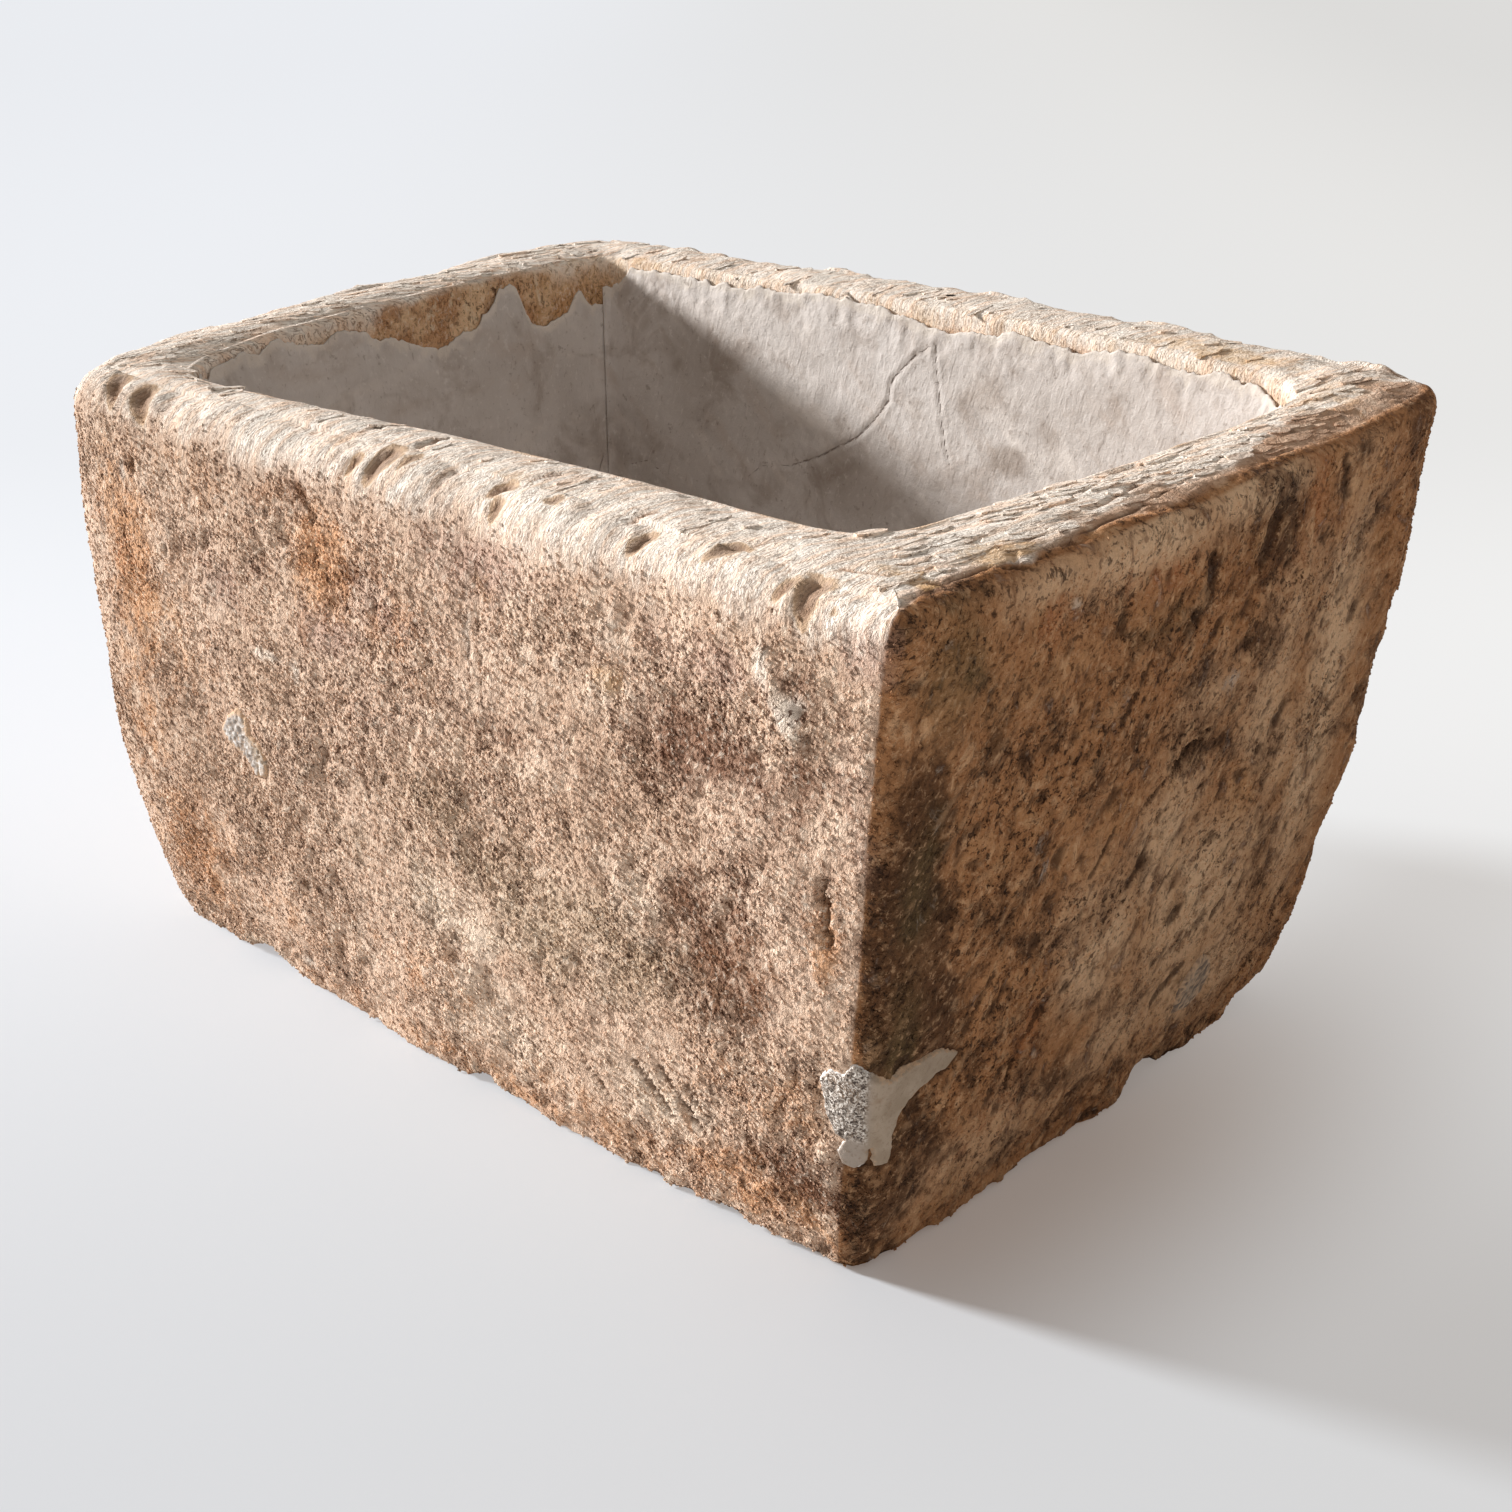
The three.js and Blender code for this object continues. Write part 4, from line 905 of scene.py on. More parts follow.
class BlockSkin:
    """The skin of the block: places on its grid, how far each point moves out, and what its finish reads."""

    def __init__(self, grid, normals, column, starts):
        rows, n = grid.shape[:2]
        self.grid, self.normals, self.column, self.starts = grid, normals, column, starts
        self.x, self.y, self.z = grid[..., 0], grid[..., 1], grid[..., 2]
        self.row = np.arange(rows)[:, None] * np.ones((1, n))
        self.station = station_of(column)[None, :] * np.ones((rows, 1))
        self.below = rim_height(column)[None, :] - self.z
        self.out_rows = self.stretch("foot", "rim")
        self.rim_rows = self.stretch("rim", "lip")
        self.in_rows = self.stretch("lip", "lined")
        self.on_front = smooth(0.35, 0.75, -normals[..., 1]) * self.out_rows
        self.on_end = smooth(0.35, 0.75, normals[..., 0]) * self.out_rows
        self.back_left = (1 - np.clip(self.on_front + self.on_end, 0, 1)) * self.out_rows
        self.wall = smooth(0.004, 0.05, self.below) * self.out_rows
        self.edge = self.out_rows * (1 - self.wall)
        step = np.linalg.norm(np.diff(grid, axis=0), axis=-1)
        girth = np.concatenate([np.zeros((1, n)), np.cumsum(step, 0)])
        self.down = girth[starts["rim"]] - girth  # along the surface from the brow, outwards and down
        self.on_rim = np.clip(self.rim_rows + self.edge * smooth(0.030, 0.0, self.down), 0, 1)
        # Along the two ends turned is 1. Where a face looks to the right in plan, plan_x is 1.
        self.turned = smooth(0.2, 0.8, plan_outward(basin_rim, column)[:, 0] ** 2)[None, :]
        self.plan_x = normals[..., 0] / np.maximum(np.hypot(normals[..., 0], normals[..., 1]), 1e-6)
        self.coarse = smooth(-0.35, 0.35, rough(grid, 0.048, 3, 79))  # where the skin has weathered to grain
        self.ragged = 0.012 * rough(grid, 0.03, 3, 201)
        self.hollow, self.pick = np.zeros((rows, n)), np.zeros((rows, n))
        self.relief = np.where(self.out_rows, hew_wave(grid), 0)

    def stretch(self, first, after):
        return (self.row >= self.starts[first]) & (self.row < self.starts[after])

    def away_from(self, station):
        """Millimetres along the block from a station, roughly."""
        side = np.floor(self.station / 2).astype(int) % 4
        return (self.station - station) * 150 * np.where(side % 2 == 0, 2.0, 1.35)

    def hew_walls(self):
        """Long lumps, slanting pick strokes, pits and grain of the walls."""
        grid, x, y, z, wall = self.grid, self.x, self.y, self.z, self.wall
        relief = self.relief
        relief += 0.0014 * rough(grid, 0.055, 2, 3) * (wall + 0.5 * self.edge)
        slant = np.stack([(x - 0.35 * z) * 2.1, y, (z + 0.35 * x) * 0.9], -1)
        strokes = 0.0009 * (crests(slant, 0.021, 3, 21) - 0.35)
        relief += strokes * self.on_front * wall * (0.55 + 0.6 * self.coarse)
        streak = np.stack([x, (y * 0.82 - z * 0.57) * 2.2, y * 0.57 + z * 0.82], -1)
        relief += 0.0016 * (crests(streak, 0.036, 3, 41) - 0.35) * self.on_end * wall
        shelves = terraces(0.5 + 0.5 * rough(streak, 0.055, 3, 43), 5, 0.18)
        relief += 0.0024 * (shelves - 0.5) * self.on_end * wall
        relief += 0.0012 * (crests(slant, 0.026, 3, 61) - 0.35) * self.back_left * wall
        relief += 0.0013 * rough(grid, 0.0115, 3, 5, 0.62) * wall * (0.5 + 0.9 * self.coarse)
        pits = smooth(0.28, 0.62, -rough(slant, 0.012, 2, 11)) * smooth(0.0, 0.4, rough(grid, 0.06, 2, 12))
        relief -= 0.0009 * pits * wall
        near, own = cells(grid + 0.002 * rough(grid, 0.006, 2, 18)[..., None], 0.0085, 17)
        relief += 0.0012 * hump(near, 0.55) * (own - 0.45) * wall * (0.4 + self.coarse)
        relief += 0.00045 * swell(grid, 0.0036, 9) * (wall + self.edge * 0.4)

    def layer_rim(self):
        """Layers of the worn rim, which run on over the outer edge as ridges, and bare stone in the mouth."""
        grid, y, down, relief = self.grid, self.y, self.down, self.relief
        bed = bedded(grid + 0.004 * rough(grid, 0.04, 2, 90)[..., None])
        layer = terraces(np.clip(0.5 + 0.5 * rough(bed, 0.011, 3, 91), 0, 1), 6, 0.25)
        relief += mix(0.0020, 0.0026, self.turned) * (layer - 0.62) * self.on_rim
        relief += 0.0014 * rough(grid, 0.03, 2, 94) * self.rim_rows
        over = self.out_rows * (1 - self.on_end) * smooth(-0.004, 0.006, down) * smooth(0.046, 0.016, down)
        ridges = 0.0011 * (crests(bed, 0.0068, 2, 97) - 0.4) + 0.0010 * (crests(bed, 0.015, 2, 99) - 0.4)
        relief += ridges * over * np.where(y > 0, 0.5, 1.0)
        relief += 0.0016 * rough(grid, 0.013, 3, 101) * (y > 0.1) * (self.on_rim + over) * (1 - self.turned)
        relief += 0.0004 * swell(grid, 0.0042, 15) * (self.on_rim + over) * 0.8
        inside = 0.0016 * rough(grid, 0.014, 3, 103) - 0.0004
        relief += self.in_rows * smooth(0.0, 0.006, self.below) * inside

    def cut_gouges(self):
        """Pick gouges over the outer edge: deepest to one side on the front, plain bowls elsewhere."""
        outer = self.row < self.starts["lip"]
        front = ((self.station < 2.02) | (self.station > 7.9)).astype(float) * outer
        wander = 0.8 * rough(self.grid, 0.007, 2, 121)
        for place, drop, width, length, depth, lean in FRONT_GOUGES:
            along = self.x * 1000 - place + wander
            u, v = turned_place(along, self.down * 1000 - drop, lean, width, length)
            r = np.hypot(u * (1 + 0.45 * np.clip(v, -1, 1)), v)
            cut = smooth(1.0, 0.45, r) * (0.65 + 0.35 * np.clip(-u, -1, 1)) * front
            self.relief -= 0.62 * depth / 1000 * cut
            # The pick share marks the front gouges for the finish's painted shade inside them and painted
            # highlight on their lip.
            painted = front * smooth(2.2, 4.5, depth)
            self.pick = np.maximum(self.pick, np.clip(1.5 - r, 0, 1) * painted)
        for place, drop, width, length, depth, lean in FAR_GOUGES:
            u, v = turned_place(self.away_from(place), self.down * 1000 - drop, lean, width, length)
            cut = np.clip(1 - u ** 2 - v ** 2, 0, 1) ** 0.6 * outer
            self.relief -= depth / 1000 * cut
            self.hollow += cut

    def mark(self):
        """Flakes off the foot, single marks and the rim's cracks."""
        grid, x, y, z = self.grid, self.x, self.y, self.z
        wander = 3 * rough(grid, 0.012, 2, 131)
        for place, length, height, depth in SPALLS:
            r = ((self.away_from(place) + wander) / (length / 2)) ** 2 + (z * 1000 / height) ** 2
            self.relief -= depth / 1000 * np.sqrt(np.clip(1 - r, 0, 1)) * self.out_rows
        wobble = 1.2 * rough(grid, 0.008, 2, 141)
        marks = (marks_relief(x, z, FRONT_MARKS, wobble) * self.on_front
                 + marks_relief(y, z, END_MARKS, wobble) * self.on_end)
        self.relief += marks
        self.hollow += np.clip(-marks / 0.0020, 0, 0.9)
        shake = 1.4 * rough(grid, 0.014, 3, 145)
        for bends, width, depth in RIM_CRACKS:
            groove = np.clip(1 - line_distance(x * 1000 + shake, y * 1000 + shake, bends) / width, 0, 1)
            self.relief -= depth / 1000 * groove * self.on_rim
            self.hollow += 0.9 * groove * self.on_rim

    def crumble_foot(self):
        """Ragged, crumbling foot, shallow beds for the mortar, and no relief where nothing is seen."""
        low = smooth(0.05, 0.0, self.z) * self.out_rows
        crumbs = 0.0022 * rough(self.grid, 0.016, 3, 151) + 0.0012 * rough(self.grid, 0.007, 2, 153) - 0.0012
        self.relief += low * crumbs
        self.bed = np.full(self.relief.shape, -1e3)  # mm inside the nearest repair's outline
        for repair in REPAIRS.values():
            depth = np.where(self.out_rows, repair_depth(repair, self.column, self.z), -1e3)
            self.bed = np.maximum(self.bed, depth)
        self.relief = mix(self.relief, np.minimum(self.relief, -0.0014), smooth(-4.0, 0.5, self.bed))
        self.relief = np.where(self.stretch("foot", "lined"), self.relief, 0)

    def wear(self):
        """Pale worn stone: the rim, far over the edge on the front and little on the end, and the mouth."""
        x, y, down = self.x, self.y, self.down
        reach = mix(0.054, 0.011, self.on_end)
        worn = np.where(self.rim_rows, 1.0, 0.0)
        worn = np.where(self.out_rows, smooth(reach, -0.002, down + self.ragged), worn)
        mouth = 0.010 + 0.022 * np.maximum((y > 0.1) & (x > -0.22), self.pale_ends())
        worn = np.where(self.in_rows, smooth(mouth, 0.0, self.below + 0.6 * self.ragged), worn)
        worn = worn * (1 - 0.6 * np.clip(self.hollow, 0, 1))
        climb = mix(0.000, 0.010, smooth(-0.13, -0.07, y)) + 0.024 * smooth(0.02, 0.12, y)
        climb = climb + 0.014 * rough(self.grid, 0.026, 3, 203)
        right_end = (self.rim_rows * self.turned + self.out_rows * smooth(0.2, 0.5, self.plan_x)) * (x > 0)
        return mix(worn, smooth(climb - 0.006, climb + 0.006, -down), np.clip(right_end, 0, 1))

    def pale_ends(self):
        """The two stretches of the left end where the mouth is worn pale."""
        return (self.x < -0.2) * np.maximum(smooth(-0.010, -0.035, self.y), smooth(0.112, 0.126, self.y))

    def stains(self, front, end, side_brown):
        """Share of every stain: mapped on the seen faces, drifting over the hidden ones."""
        x, y, z, grid = self.x, self.y, self.z, self.grid
        stain = {name: patches(x, z, spots) * front for name, spots in FRONT_STAINS.items()}
        stain["tan"] *= 0.7 + 0.6 * self.ragged / 0.012
        for name, spots in END_STAINS.items():
            stain[name] += patches(y, z, spots) * end
        drift, other = 0.5 + 0.5 * rough(grid, 0.12, 2, 211), 0.5 + 0.5 * rough(grid, 0.10, 2, 217)
        for name, cloud, low, high in (("iron", drift, 0.62, 0.95), ("umber", drift, 0.42, 0.05),
                                       ("plum", other, 0.60, 0.95), ("lichen", other, 0.40, 0.10)):
            stain[name] += self.back_left * smooth(low, high, cloud) * 0.6
        stain["ochre"] += self.rim_rows * patches(x, y, RIM_OCHRE)
        stain["ochre"] += self.in_rows * ((y > 0.1) * 0.30 + self.pale_ends() * 0.15)
        stain["iron"] += self.in_rows * patches(y, z, MOUTH_IRON) * (x < -0.2)
        stain["umber"] += smooth(0.024, 0.0, z) * end * 0.30
        stain["umber"] += patches(y, z, CORNER_UMBER) * side_brown * self.out_rows
        return {name: np.clip(share, 0, 1) for name, share in stain.items()}

    def shares(self):
        """Every share that the finish and the strewn grains read, 0 to 1 but for the hollow, -1 to 1."""
        grid, down, relief = self.grid, self.down, self.relief
        # The hollow share: how far each point lies below its neighbours, with the gouges, marks and cracks
        # added; the finishes paint shade where it is above 0 and highlight where it is below 0.
        hollow = (blurred(relief, 3) - relief) / mix(0.0014, 0.0009, self.on_end)
        hollow = np.clip(0.8 * hollow + 0.9 * self.hollow, -1, 1)
        hollow = np.where(self.stretch("foot", "lined"), hollow, 0)
        worn = self.wear()
        bare = self.in_rows * (1 - worn)
        front, end = smooth(0.1, 0.6, self.on_front), smooth(0.1, 0.6, self.on_end)
        on_side = self.out_rows * smooth(0.12, 0.42, self.plan_x)
        # Brown share: faces turned to the right, away from the sun, take the end's browner colours, partly
        # their own staining and partly painted shade; some bare stone inside the left end, which faces the
        # same way, takes a little.
        side_brown = np.clip(self.rim_rows * self.turned * (self.x > 0) + on_side, 0, 1)
        brown = side_brown * (1 - worn) * (0.94 + 0.12 * rough(grid, 0.05, 2, 223))
        brown *= mix(0.45, 1.0, smooth(-0.004, 0.014, down + 0.3 * self.ragged))
        brown = np.clip(brown + bare * (self.x < -0.2) * 0.35, 0, 1)
        stain = self.stains(front, end, side_brown)

        skin = patches(self.x, self.z, FRONT_SKIN) * front + patches(self.y, self.z, END_SKIN) * end
        grainy = (0.44 + 0.44 * self.coarse) * (1 - 0.85 * worn) * (1 - skin)
        grainy *= 1 - 0.75 * stain["tan"] * front
        grainy = np.where(self.rim_rows, mix(0.06, 0.5, brown), grainy) + 0.25 * stain["umber"] * front
        start, full = mix(0.022, 0.006, self.on_end), mix(0.050, 0.024, self.on_end)
        grit = self.out_rows * smooth(start, full, down + 0.5 * self.ragged)
        grit = grit * (0.35 + 0.6 * self.coarse) * (1 - 0.8 * skin)
        grit = grit * (1 - 0.9 * stain["chalk"]) * (1 - 0.6 * stain["tan"] * front)
        grit = grit * (1 - smooth(-3.0, 0.0, self.bed))
        inset = smooth(-0.003, -0.012, down) * smooth(0.5, 0.9, self.normals[..., 2])
        flaky = self.rim_rows * inset * (0.2 + 0.8 * self.turned)
        flaky = flaky * (0.3 + 0.7 * smooth(-0.2, 0.4, rough(grid, 0.05, 2, 231)))
        return {**stain, "worn": worn, "brown": brown, "hollow": hollow * (1 - 0.5 * worn),
                "grainy": np.clip(grainy, 0, 1), "bare": bare, "pick": self.pick,
                "grit_front_left": grit * front * (self.x < 0),
                "grit_front_right": grit * front * (self.x >= 0),
                "grit_end": grit * end, "grit_far": grit * self.back_left, "flaky": flaky}


SCATTER_SHARES = ("grit_front_left", "grit_front_right", "grit_end", "grit_far", "flaky", "out", "lie")


def block():
    """The stone, on fine columns over what the photograph shows and on wider ones behind."""
    near = even_columns(0, 41.2, 0.0028)
    far = even_columns(41.2, 76.3, 0.0048)
    end = even_columns(76.3, 78, 0.0030)
    column = np.concatenate([near, far, end])
    grid, starts = block_rows(column)
    normals = grid_normals(grid)
    beds = np.array([math.sin(BEDDING), math.cos(BEDDING), 0.0])
    rising = np.array([0.0, math.sin(-STREAK_LEAN), math.cos(STREAK_LEAN)])
    lie = mix(beds, rising, smooth(0.35, 0.75, normals[..., :1]))
    skin = BlockSkin(grid, normals, column, starts)
    for work in (skin.hew_walls, skin.layer_rim, skin.cut_gouges, skin.mark, skin.crumble_foot):
        work()
    grid = grid + normals * skin.relief[..., None]
    keep = np.array([0.0004, 0.0004, 0.0])
    grid = np.clip(grid, STONE_BOX[0] + keep, STONE_BOX[1] - keep)
    first = starts["wall"] + 3
    coarse = (first, first + 3 * ((starts["arris"] - first - 6) // 3), len(near), len(near) + len(far))
    faces = ring_faces(*grid.shape[:2], coarse)
    stone = make_mesh("hewn_block", grid, faces, skin.shares(), {"out": normals, "lie": lie})
    drop_loose_points(stone)
    return stone


# Grains and flakes strewn over the block
def scatter_tree():
    """Small broken solids on a ground mesh: as many as a share of it asks for, turned along its surface."""
    tree = bpy.data.node_groups.new("strewn_grains", "GeometryNodeTree")
    for label, kind in (
            ("Ground", "Geometry"), ("Where", "String"), ("Density", "Float"), ("Least size", "Vector"),
            ("Largest size", "Vector"), ("Turn", "Vector"), ("Break", "Vector"), ("Break size", "Float"),
            ("Corners", "Int"), ("Seed", "Int"), ("Finish", "Material")):
        tree.interface.new_socket(label, in_out="INPUT", socket_type="NodeSocket" + kind)
    tree.interface.new_socket("Grains", in_out="OUTPUT", socket_type="NodeSocketGeometry")
    given = tree.nodes.new("NodeGroupInput").outputs

    def attribute(name, kind):
        node = add_node(tree, "GeometryNodeInputNamedAttribute", {"Name": name}, data_type=kind)
        return next(out for out in node.outputs if out.enabled and out.name == "Attribute")

    def chance(least, largest, offset):
        seed = calc(tree, "ADD", given["Seed"], float(offset))
        return add_node(tree, "FunctionNodeRandomValue", {0: least, 1: largest, "Seed": seed},
                        data_type="FLOAT_VECTOR").outputs[0]

    density = calc(tree, "MULTIPLY", attribute(given["Where"], "FLOAT"), given["Density"])
    points = add_node(tree, "GeometryNodeDistributePointsOnFaces", {
        "Mesh": given["Ground"], "Density": density, "Seed": given["Seed"]}, distribute_method="RANDOM")
    upright = add_node(tree, "FunctionNodeAlignRotationToVector", {
        "Vector": attribute("out", "FLOAT_VECTOR")}, axis="Z")
    along = add_node(tree, "FunctionNodeAlignRotationToVector", {
        "Rotation": upright.outputs[0], "Vector": attribute("lie", "FLOAT_VECTOR")}, axis="X", pivot_axis="Z")
    spin = chance(vector(tree, "MULTIPLY", given["Turn"], (-1.0, -1.0, -1.0)), given["Turn"], 1)
    swing = add_node(tree, "FunctionNodeEulerToRotation", {0: spin})
    turned = add_node(tree, "FunctionNodeRotateRotation", {
        "Rotation": along.outputs[0], "Rotate By": swing.outputs[0]}, rotation_space="LOCAL")
    grain = add_node(tree, "GeometryNodeMeshCylinder", {
        "Vertices": given["Corners"], "Radius": 0.5, "Depth": 1.0}, fill_type="NGON")
    spread = add_node(tree, "GeometryNodeInstanceOnPoints", {
        "Points": points.outputs["Points"], "Instance": grain.outputs["Mesh"], "Rotation": turned.outputs[0],
        "Scale": chance(given["Least size"], given["Largest size"], 2)})
    real = add_node(tree, "GeometryNodeRealizeInstances", {"Geometry": spread.outputs[0]})
    cloud = add_node(tree, "ShaderNodeTexNoise", {
        "Vector": add_node(tree, "GeometryNodeInputPosition").outputs[0],
        "Scale": calc(tree, "DIVIDE", 1.0, given["Break size"]), "Detail": 1.0})
    about_none = vector(tree, "SUBTRACT", cloud.outputs["Color"], (0.5, 0.5, 0.5))
    shift = vector(tree, "MULTIPLY", about_none, given["Break"])
    broken = add_node(tree, "GeometryNodeSetPosition", {"Geometry": real.outputs[0], "Offset": shift})
    flat = add_node(tree, "GeometryNodeSetShadeSmooth", {
        "Geometry": broken.outputs[0], "Shade Smooth": False})
    finished = add_node(tree, "GeometryNodeSetMaterial", {
        "Geometry": flat.outputs[0], "Material": given["Finish"]})
    add_node(tree, "NodeGroupOutput", {0: finished.outputs[0]})
    return tree


def strewn(tree, name, ground, finish, **sizes):
    """A plain mesh of the grains that the tree strews over a ground mesh, kept inside the block's box."""
    carrier = placed(name + "_ground", ground.data)
    modifier = carrier.modifiers.new("strewn", "NODES")
    modifier.node_group = tree
    sockets = {item.name: item.identifier for item in tree.interface.items_tree if item.in_out == "INPUT"}
    for label, value in {**sizes, "Finish": finish}.items():
        modifier[sockets[label.replace("_", " ")]] = value
    graph = bpy.context.evaluated_depsgraph_get()
    mesh = bpy.data.meshes.new_from_object(
        carrier.evaluated_get(graph), preserve_all_data_layers=True, depsgraph=graph)
    bpy.data.objects.remove(carrier)
    place = np.zeros(3 * len(mesh.vertices), np.float32)
    mesh.vertices.foreach_get("co", place)
    inside = np.clip(place.reshape(-1, 3), STONE_BOX[0] + 0.0002, STONE_BOX[1] - 0.0001)
    mesh.vertices.foreach_set("co", inside.astype(np.float32).reshape(-1))
    mesh.name = name
    thing = placed(name, mesh)
    drop_shares(thing, SCATTER_SHARES)
    return thing


def drop_shares(thing, names):
    for name in names:
        if name in thing.data.attributes:
            thing.data.attributes.remove(thing.data.attributes[name])


# Mortar repairs
def mortar_face(name, u, v, depth, ground):
    """How far a repair stands proud of the stone, and the shares that its finish reads."""
    spiky = crests(ground, 0.0026, 2, 511)
    soft = rough(ground, 0.014, 2, 517)
    cool = stipple = np.zeros_like(u)
    if name == "corner_mortar":
        stipple = smooth(2.5, -1.5, u + 2 * soft) * smooth(80, 86, v + 2 * soft)
        proud = 0.0002 + 0.0005 * (spiky - 0.35) * stipple + 0.0005 * soft
        proud = proud + 0.0001 * rough(ground, 0.0028, 2, 513)
        # Painted highlight along the outline where the corner repair meets the front.
        hollow = -0.6 * smooth(1.3, 0.2, depth) * smooth(3, -3, u)
        dust = 0.55 * smooth(3.2, 0.0, depth) * smooth(-4, 10, u)
        cool = 0.6 * smooth(5, -3, u)
    elif name == "front_mortar":
        proud = 0.0002 + 0.0010 * (spiky - 0.4) + 0.0008 * soft
        # Painted highlight on the crests of the front repair and painted shade between them.
        hollow = -0.14 - 0.8 * (spiky - 0.35)
        dust = 0.24 + 0.6 * smooth(4.0, 0.5, depth + 3 * soft)
        cool = 0.9 * smooth(-144, -154, u + 0.4 * (v - 156))
    else:
        proud = 0.0004 + 0.0005 * (spiky - 0.4) + 0.0006 * soft
        # The end repair is darker overall, with painted shade between its crests.
        hollow = 0.30 - 0.6 * (spiky - 0.45)
        dust = 0.48 + 0.45 * smooth(5.0, 0.5, depth + 3 * soft)
    return proud, {"hollow": np.clip(hollow, -1, 1), "dust": np.clip(dust, 0, 1), "cool": cool,
                   "stipple": stipple}


def slab_faces(kept):
    """Faces of a thin slab over the kept points of a grid: front, back, and sides round its outline."""
    rows, wide = kept.shape
    cell = kept[:-1, :-1] & kept[1:, :-1] & kept[:-1, 1:] & kept[1:, 1:]
    count = rows * wide
    faces = []
    for r, c in np.argwhere(cell):
        a, b, d, e = r * wide + c, r * wide + c + 1, (r + 1) * wide + c + 1, (r + 1) * wide + c
        faces.append((a, b, d, e))
        faces.append((count + e, count + d, count + b, count + a))
        for near, far, dr, dc in ((b, a, -1, 0), (d, b, 0, 1), (e, d, 1, 0), (a, e, 0, -1)):
            rr, cc = r + dr, c + dc
            if not (0 <= rr < rows - 1 and 0 <= cc < wide - 1 and cell[rr, cc]):
                faces.append((near, far, count + far, count + near))
    return faces


def mortar(name):
    """One repair: a slightly proud face, feathered under the stone at its outline, on a thin back."""
    repair = REPAIRS[name]
    track, place = repair_track(repair)
    corners = np.array(repair[-1], float)
    (u0, v0), (u1, v1) = corners.min(0) - 3, corners.max(0) + 3
    step = 0.55 if name == "corner_mortar" else 0.9
    u, v = np.meshgrid(np.arange(u0, u1, step), np.arange(v0, v1, step))
    column, height = np.interp(u, place, track), v / 1000
    ground = lift(outside(column, height), height)
    out = plan_outward(lambda c: outside(c, height), column)
    out = np.concatenate([out, 0 * out[..., :1]], -1)
    ragged = 1.3 * rough(ground, 0.006, 3, 501)
    depth = inside_depth(u, v, repair[-1]) + ragged + 0.6 * rough(ground, 0.002, 2, 503)
    proud, shares = mortar_face(name, u, v, depth, ground)
    front = ground + out * mix(-0.0024, proud, smooth(-1.2, 1.5, depth))[..., None]
    back = ground - out * 0.0055
    points = np.concatenate([front.reshape(-1, 3), back.reshape(-1, 3)])
    shares = {key: np.tile(values.reshape(-1), 2) for key, values in shares.items()}
    thing = make_mesh(name, points, slab_faces(depth > -1.5), shares)
    drop_loose_points(thing)
    return thing


# Cement render
# Cracks in the render, as x (or y) and z of their bends in mm, then width and depth.
BACK_CRACKS = [
    ([(-84, 241), (-60, 252), (-33, 268), (-20, 281), (-10, 295), (-9, 307), (6, 323)], 2.2, 1.3),
    ([(19, 332), (26, 306), (30, 284), (38, 262)], 1.8, 1.0),
    ([(-84, 241), (-108, 236), (-120, 226)], 1.8, 0.5), ([(87, 340), (90, 322), (92, 300)], 1.4, 0.3),
    ([(-33, 268), (-28, 250), (-34, 236)], 1.6, 0.5), ([(-223, 215), (-204, 222), (-190, 212)], 1.8, 0.7),
    ([(6, 323), (16, 330)], 1.8, 0.7), ([(-190, 300), (-180, 284), (-184, 262)], 1.4, 0.35),
    ([(150, 318), (160, 300)], 1.4, 0.35),
]
LEFT_CRACKS = [
    ([(145, 219), (138, 206), (150, 190)], 1.8, 0.8), ([(20, 250), (60, 262), (84, 258)], 1.4, 0.25),
]
# Damp on the same coats: x (or y), z, half width and half height in mm, strength.
BACK_DAMP = [
    (80, 276, 17, 11, 0.9), (150, 262, 20, 12, 0.5), (-40, 235, 70, 34, 0.6), (-170, 290, 50, 60, 0.6),
    (70, 306, 80, 26, 0.42), (-200, 200, 40, 60, 0.5),
]
LEFT_DAMP = [(100, 180, 30, 24, 0.35)]

# Ragged top edges of the coats that show, as x (or y) and z in mm.
BACK_EDGE = [
    (-250, 326), (-240, 332), (-230, 342), (-204, 343), (-160, 342), (-110, 345), (-74, 347), (-34, 348),
    (-6, 344), (16, 340), (40, 342), (80, 346), (114, 343), (150, 348), (176, 344), (210, 346), (232, 342),
    (245, 337),
]
LEFT_EDGE = [
    (-160, 328), (-142, 333), (-125, 337), (-112, 334), (-98, 341), (-85, 334), (-66, 330), (-55, 337),
    (-40, 333), (-24, 326), (-12, 325), (0, 317), (12, 315), (21, 311), (31, 313), (40, 317), (52, 318),
    (58, 325), (66, 329), (72, 336), (79, 341), (85, 339), (89, 331), (93, 322), (98, 313), (108, 309),
    (120, 312), (128, 315), (134, 325), (140, 328), (147, 317), (158, 316),
]


def coat_top(column, share, side, seed, top_edge):
    """Height of a coat's ragged top edge over its columns."""
    lip = rim_height(column) - RIM_CROWN - INNER_ARRIS / 2
    drops = RENDER_DROPS[side]
    top = lip - RENDER_DROP * np.interp(share, np.linspace(0, 1, len(drops)), drops)
    edge = lift(basin(column, top), top)
    if top_edge:
        place = edge[:, side % 2] * 1000
        top = np.interp(place, *np.array(top_edge, float).T) / 1000 + (
            0.0012 * rough(edge, 0.012, 2, seed) + 0.0030 * rough(edge, 0.0055, 3, seed + 1, 0.75))
    else:
        top = top + 0.0028 * rough(edge, 0.016, 3, seed) - 0.002
    return np.minimum(top, lip - 0.0008)


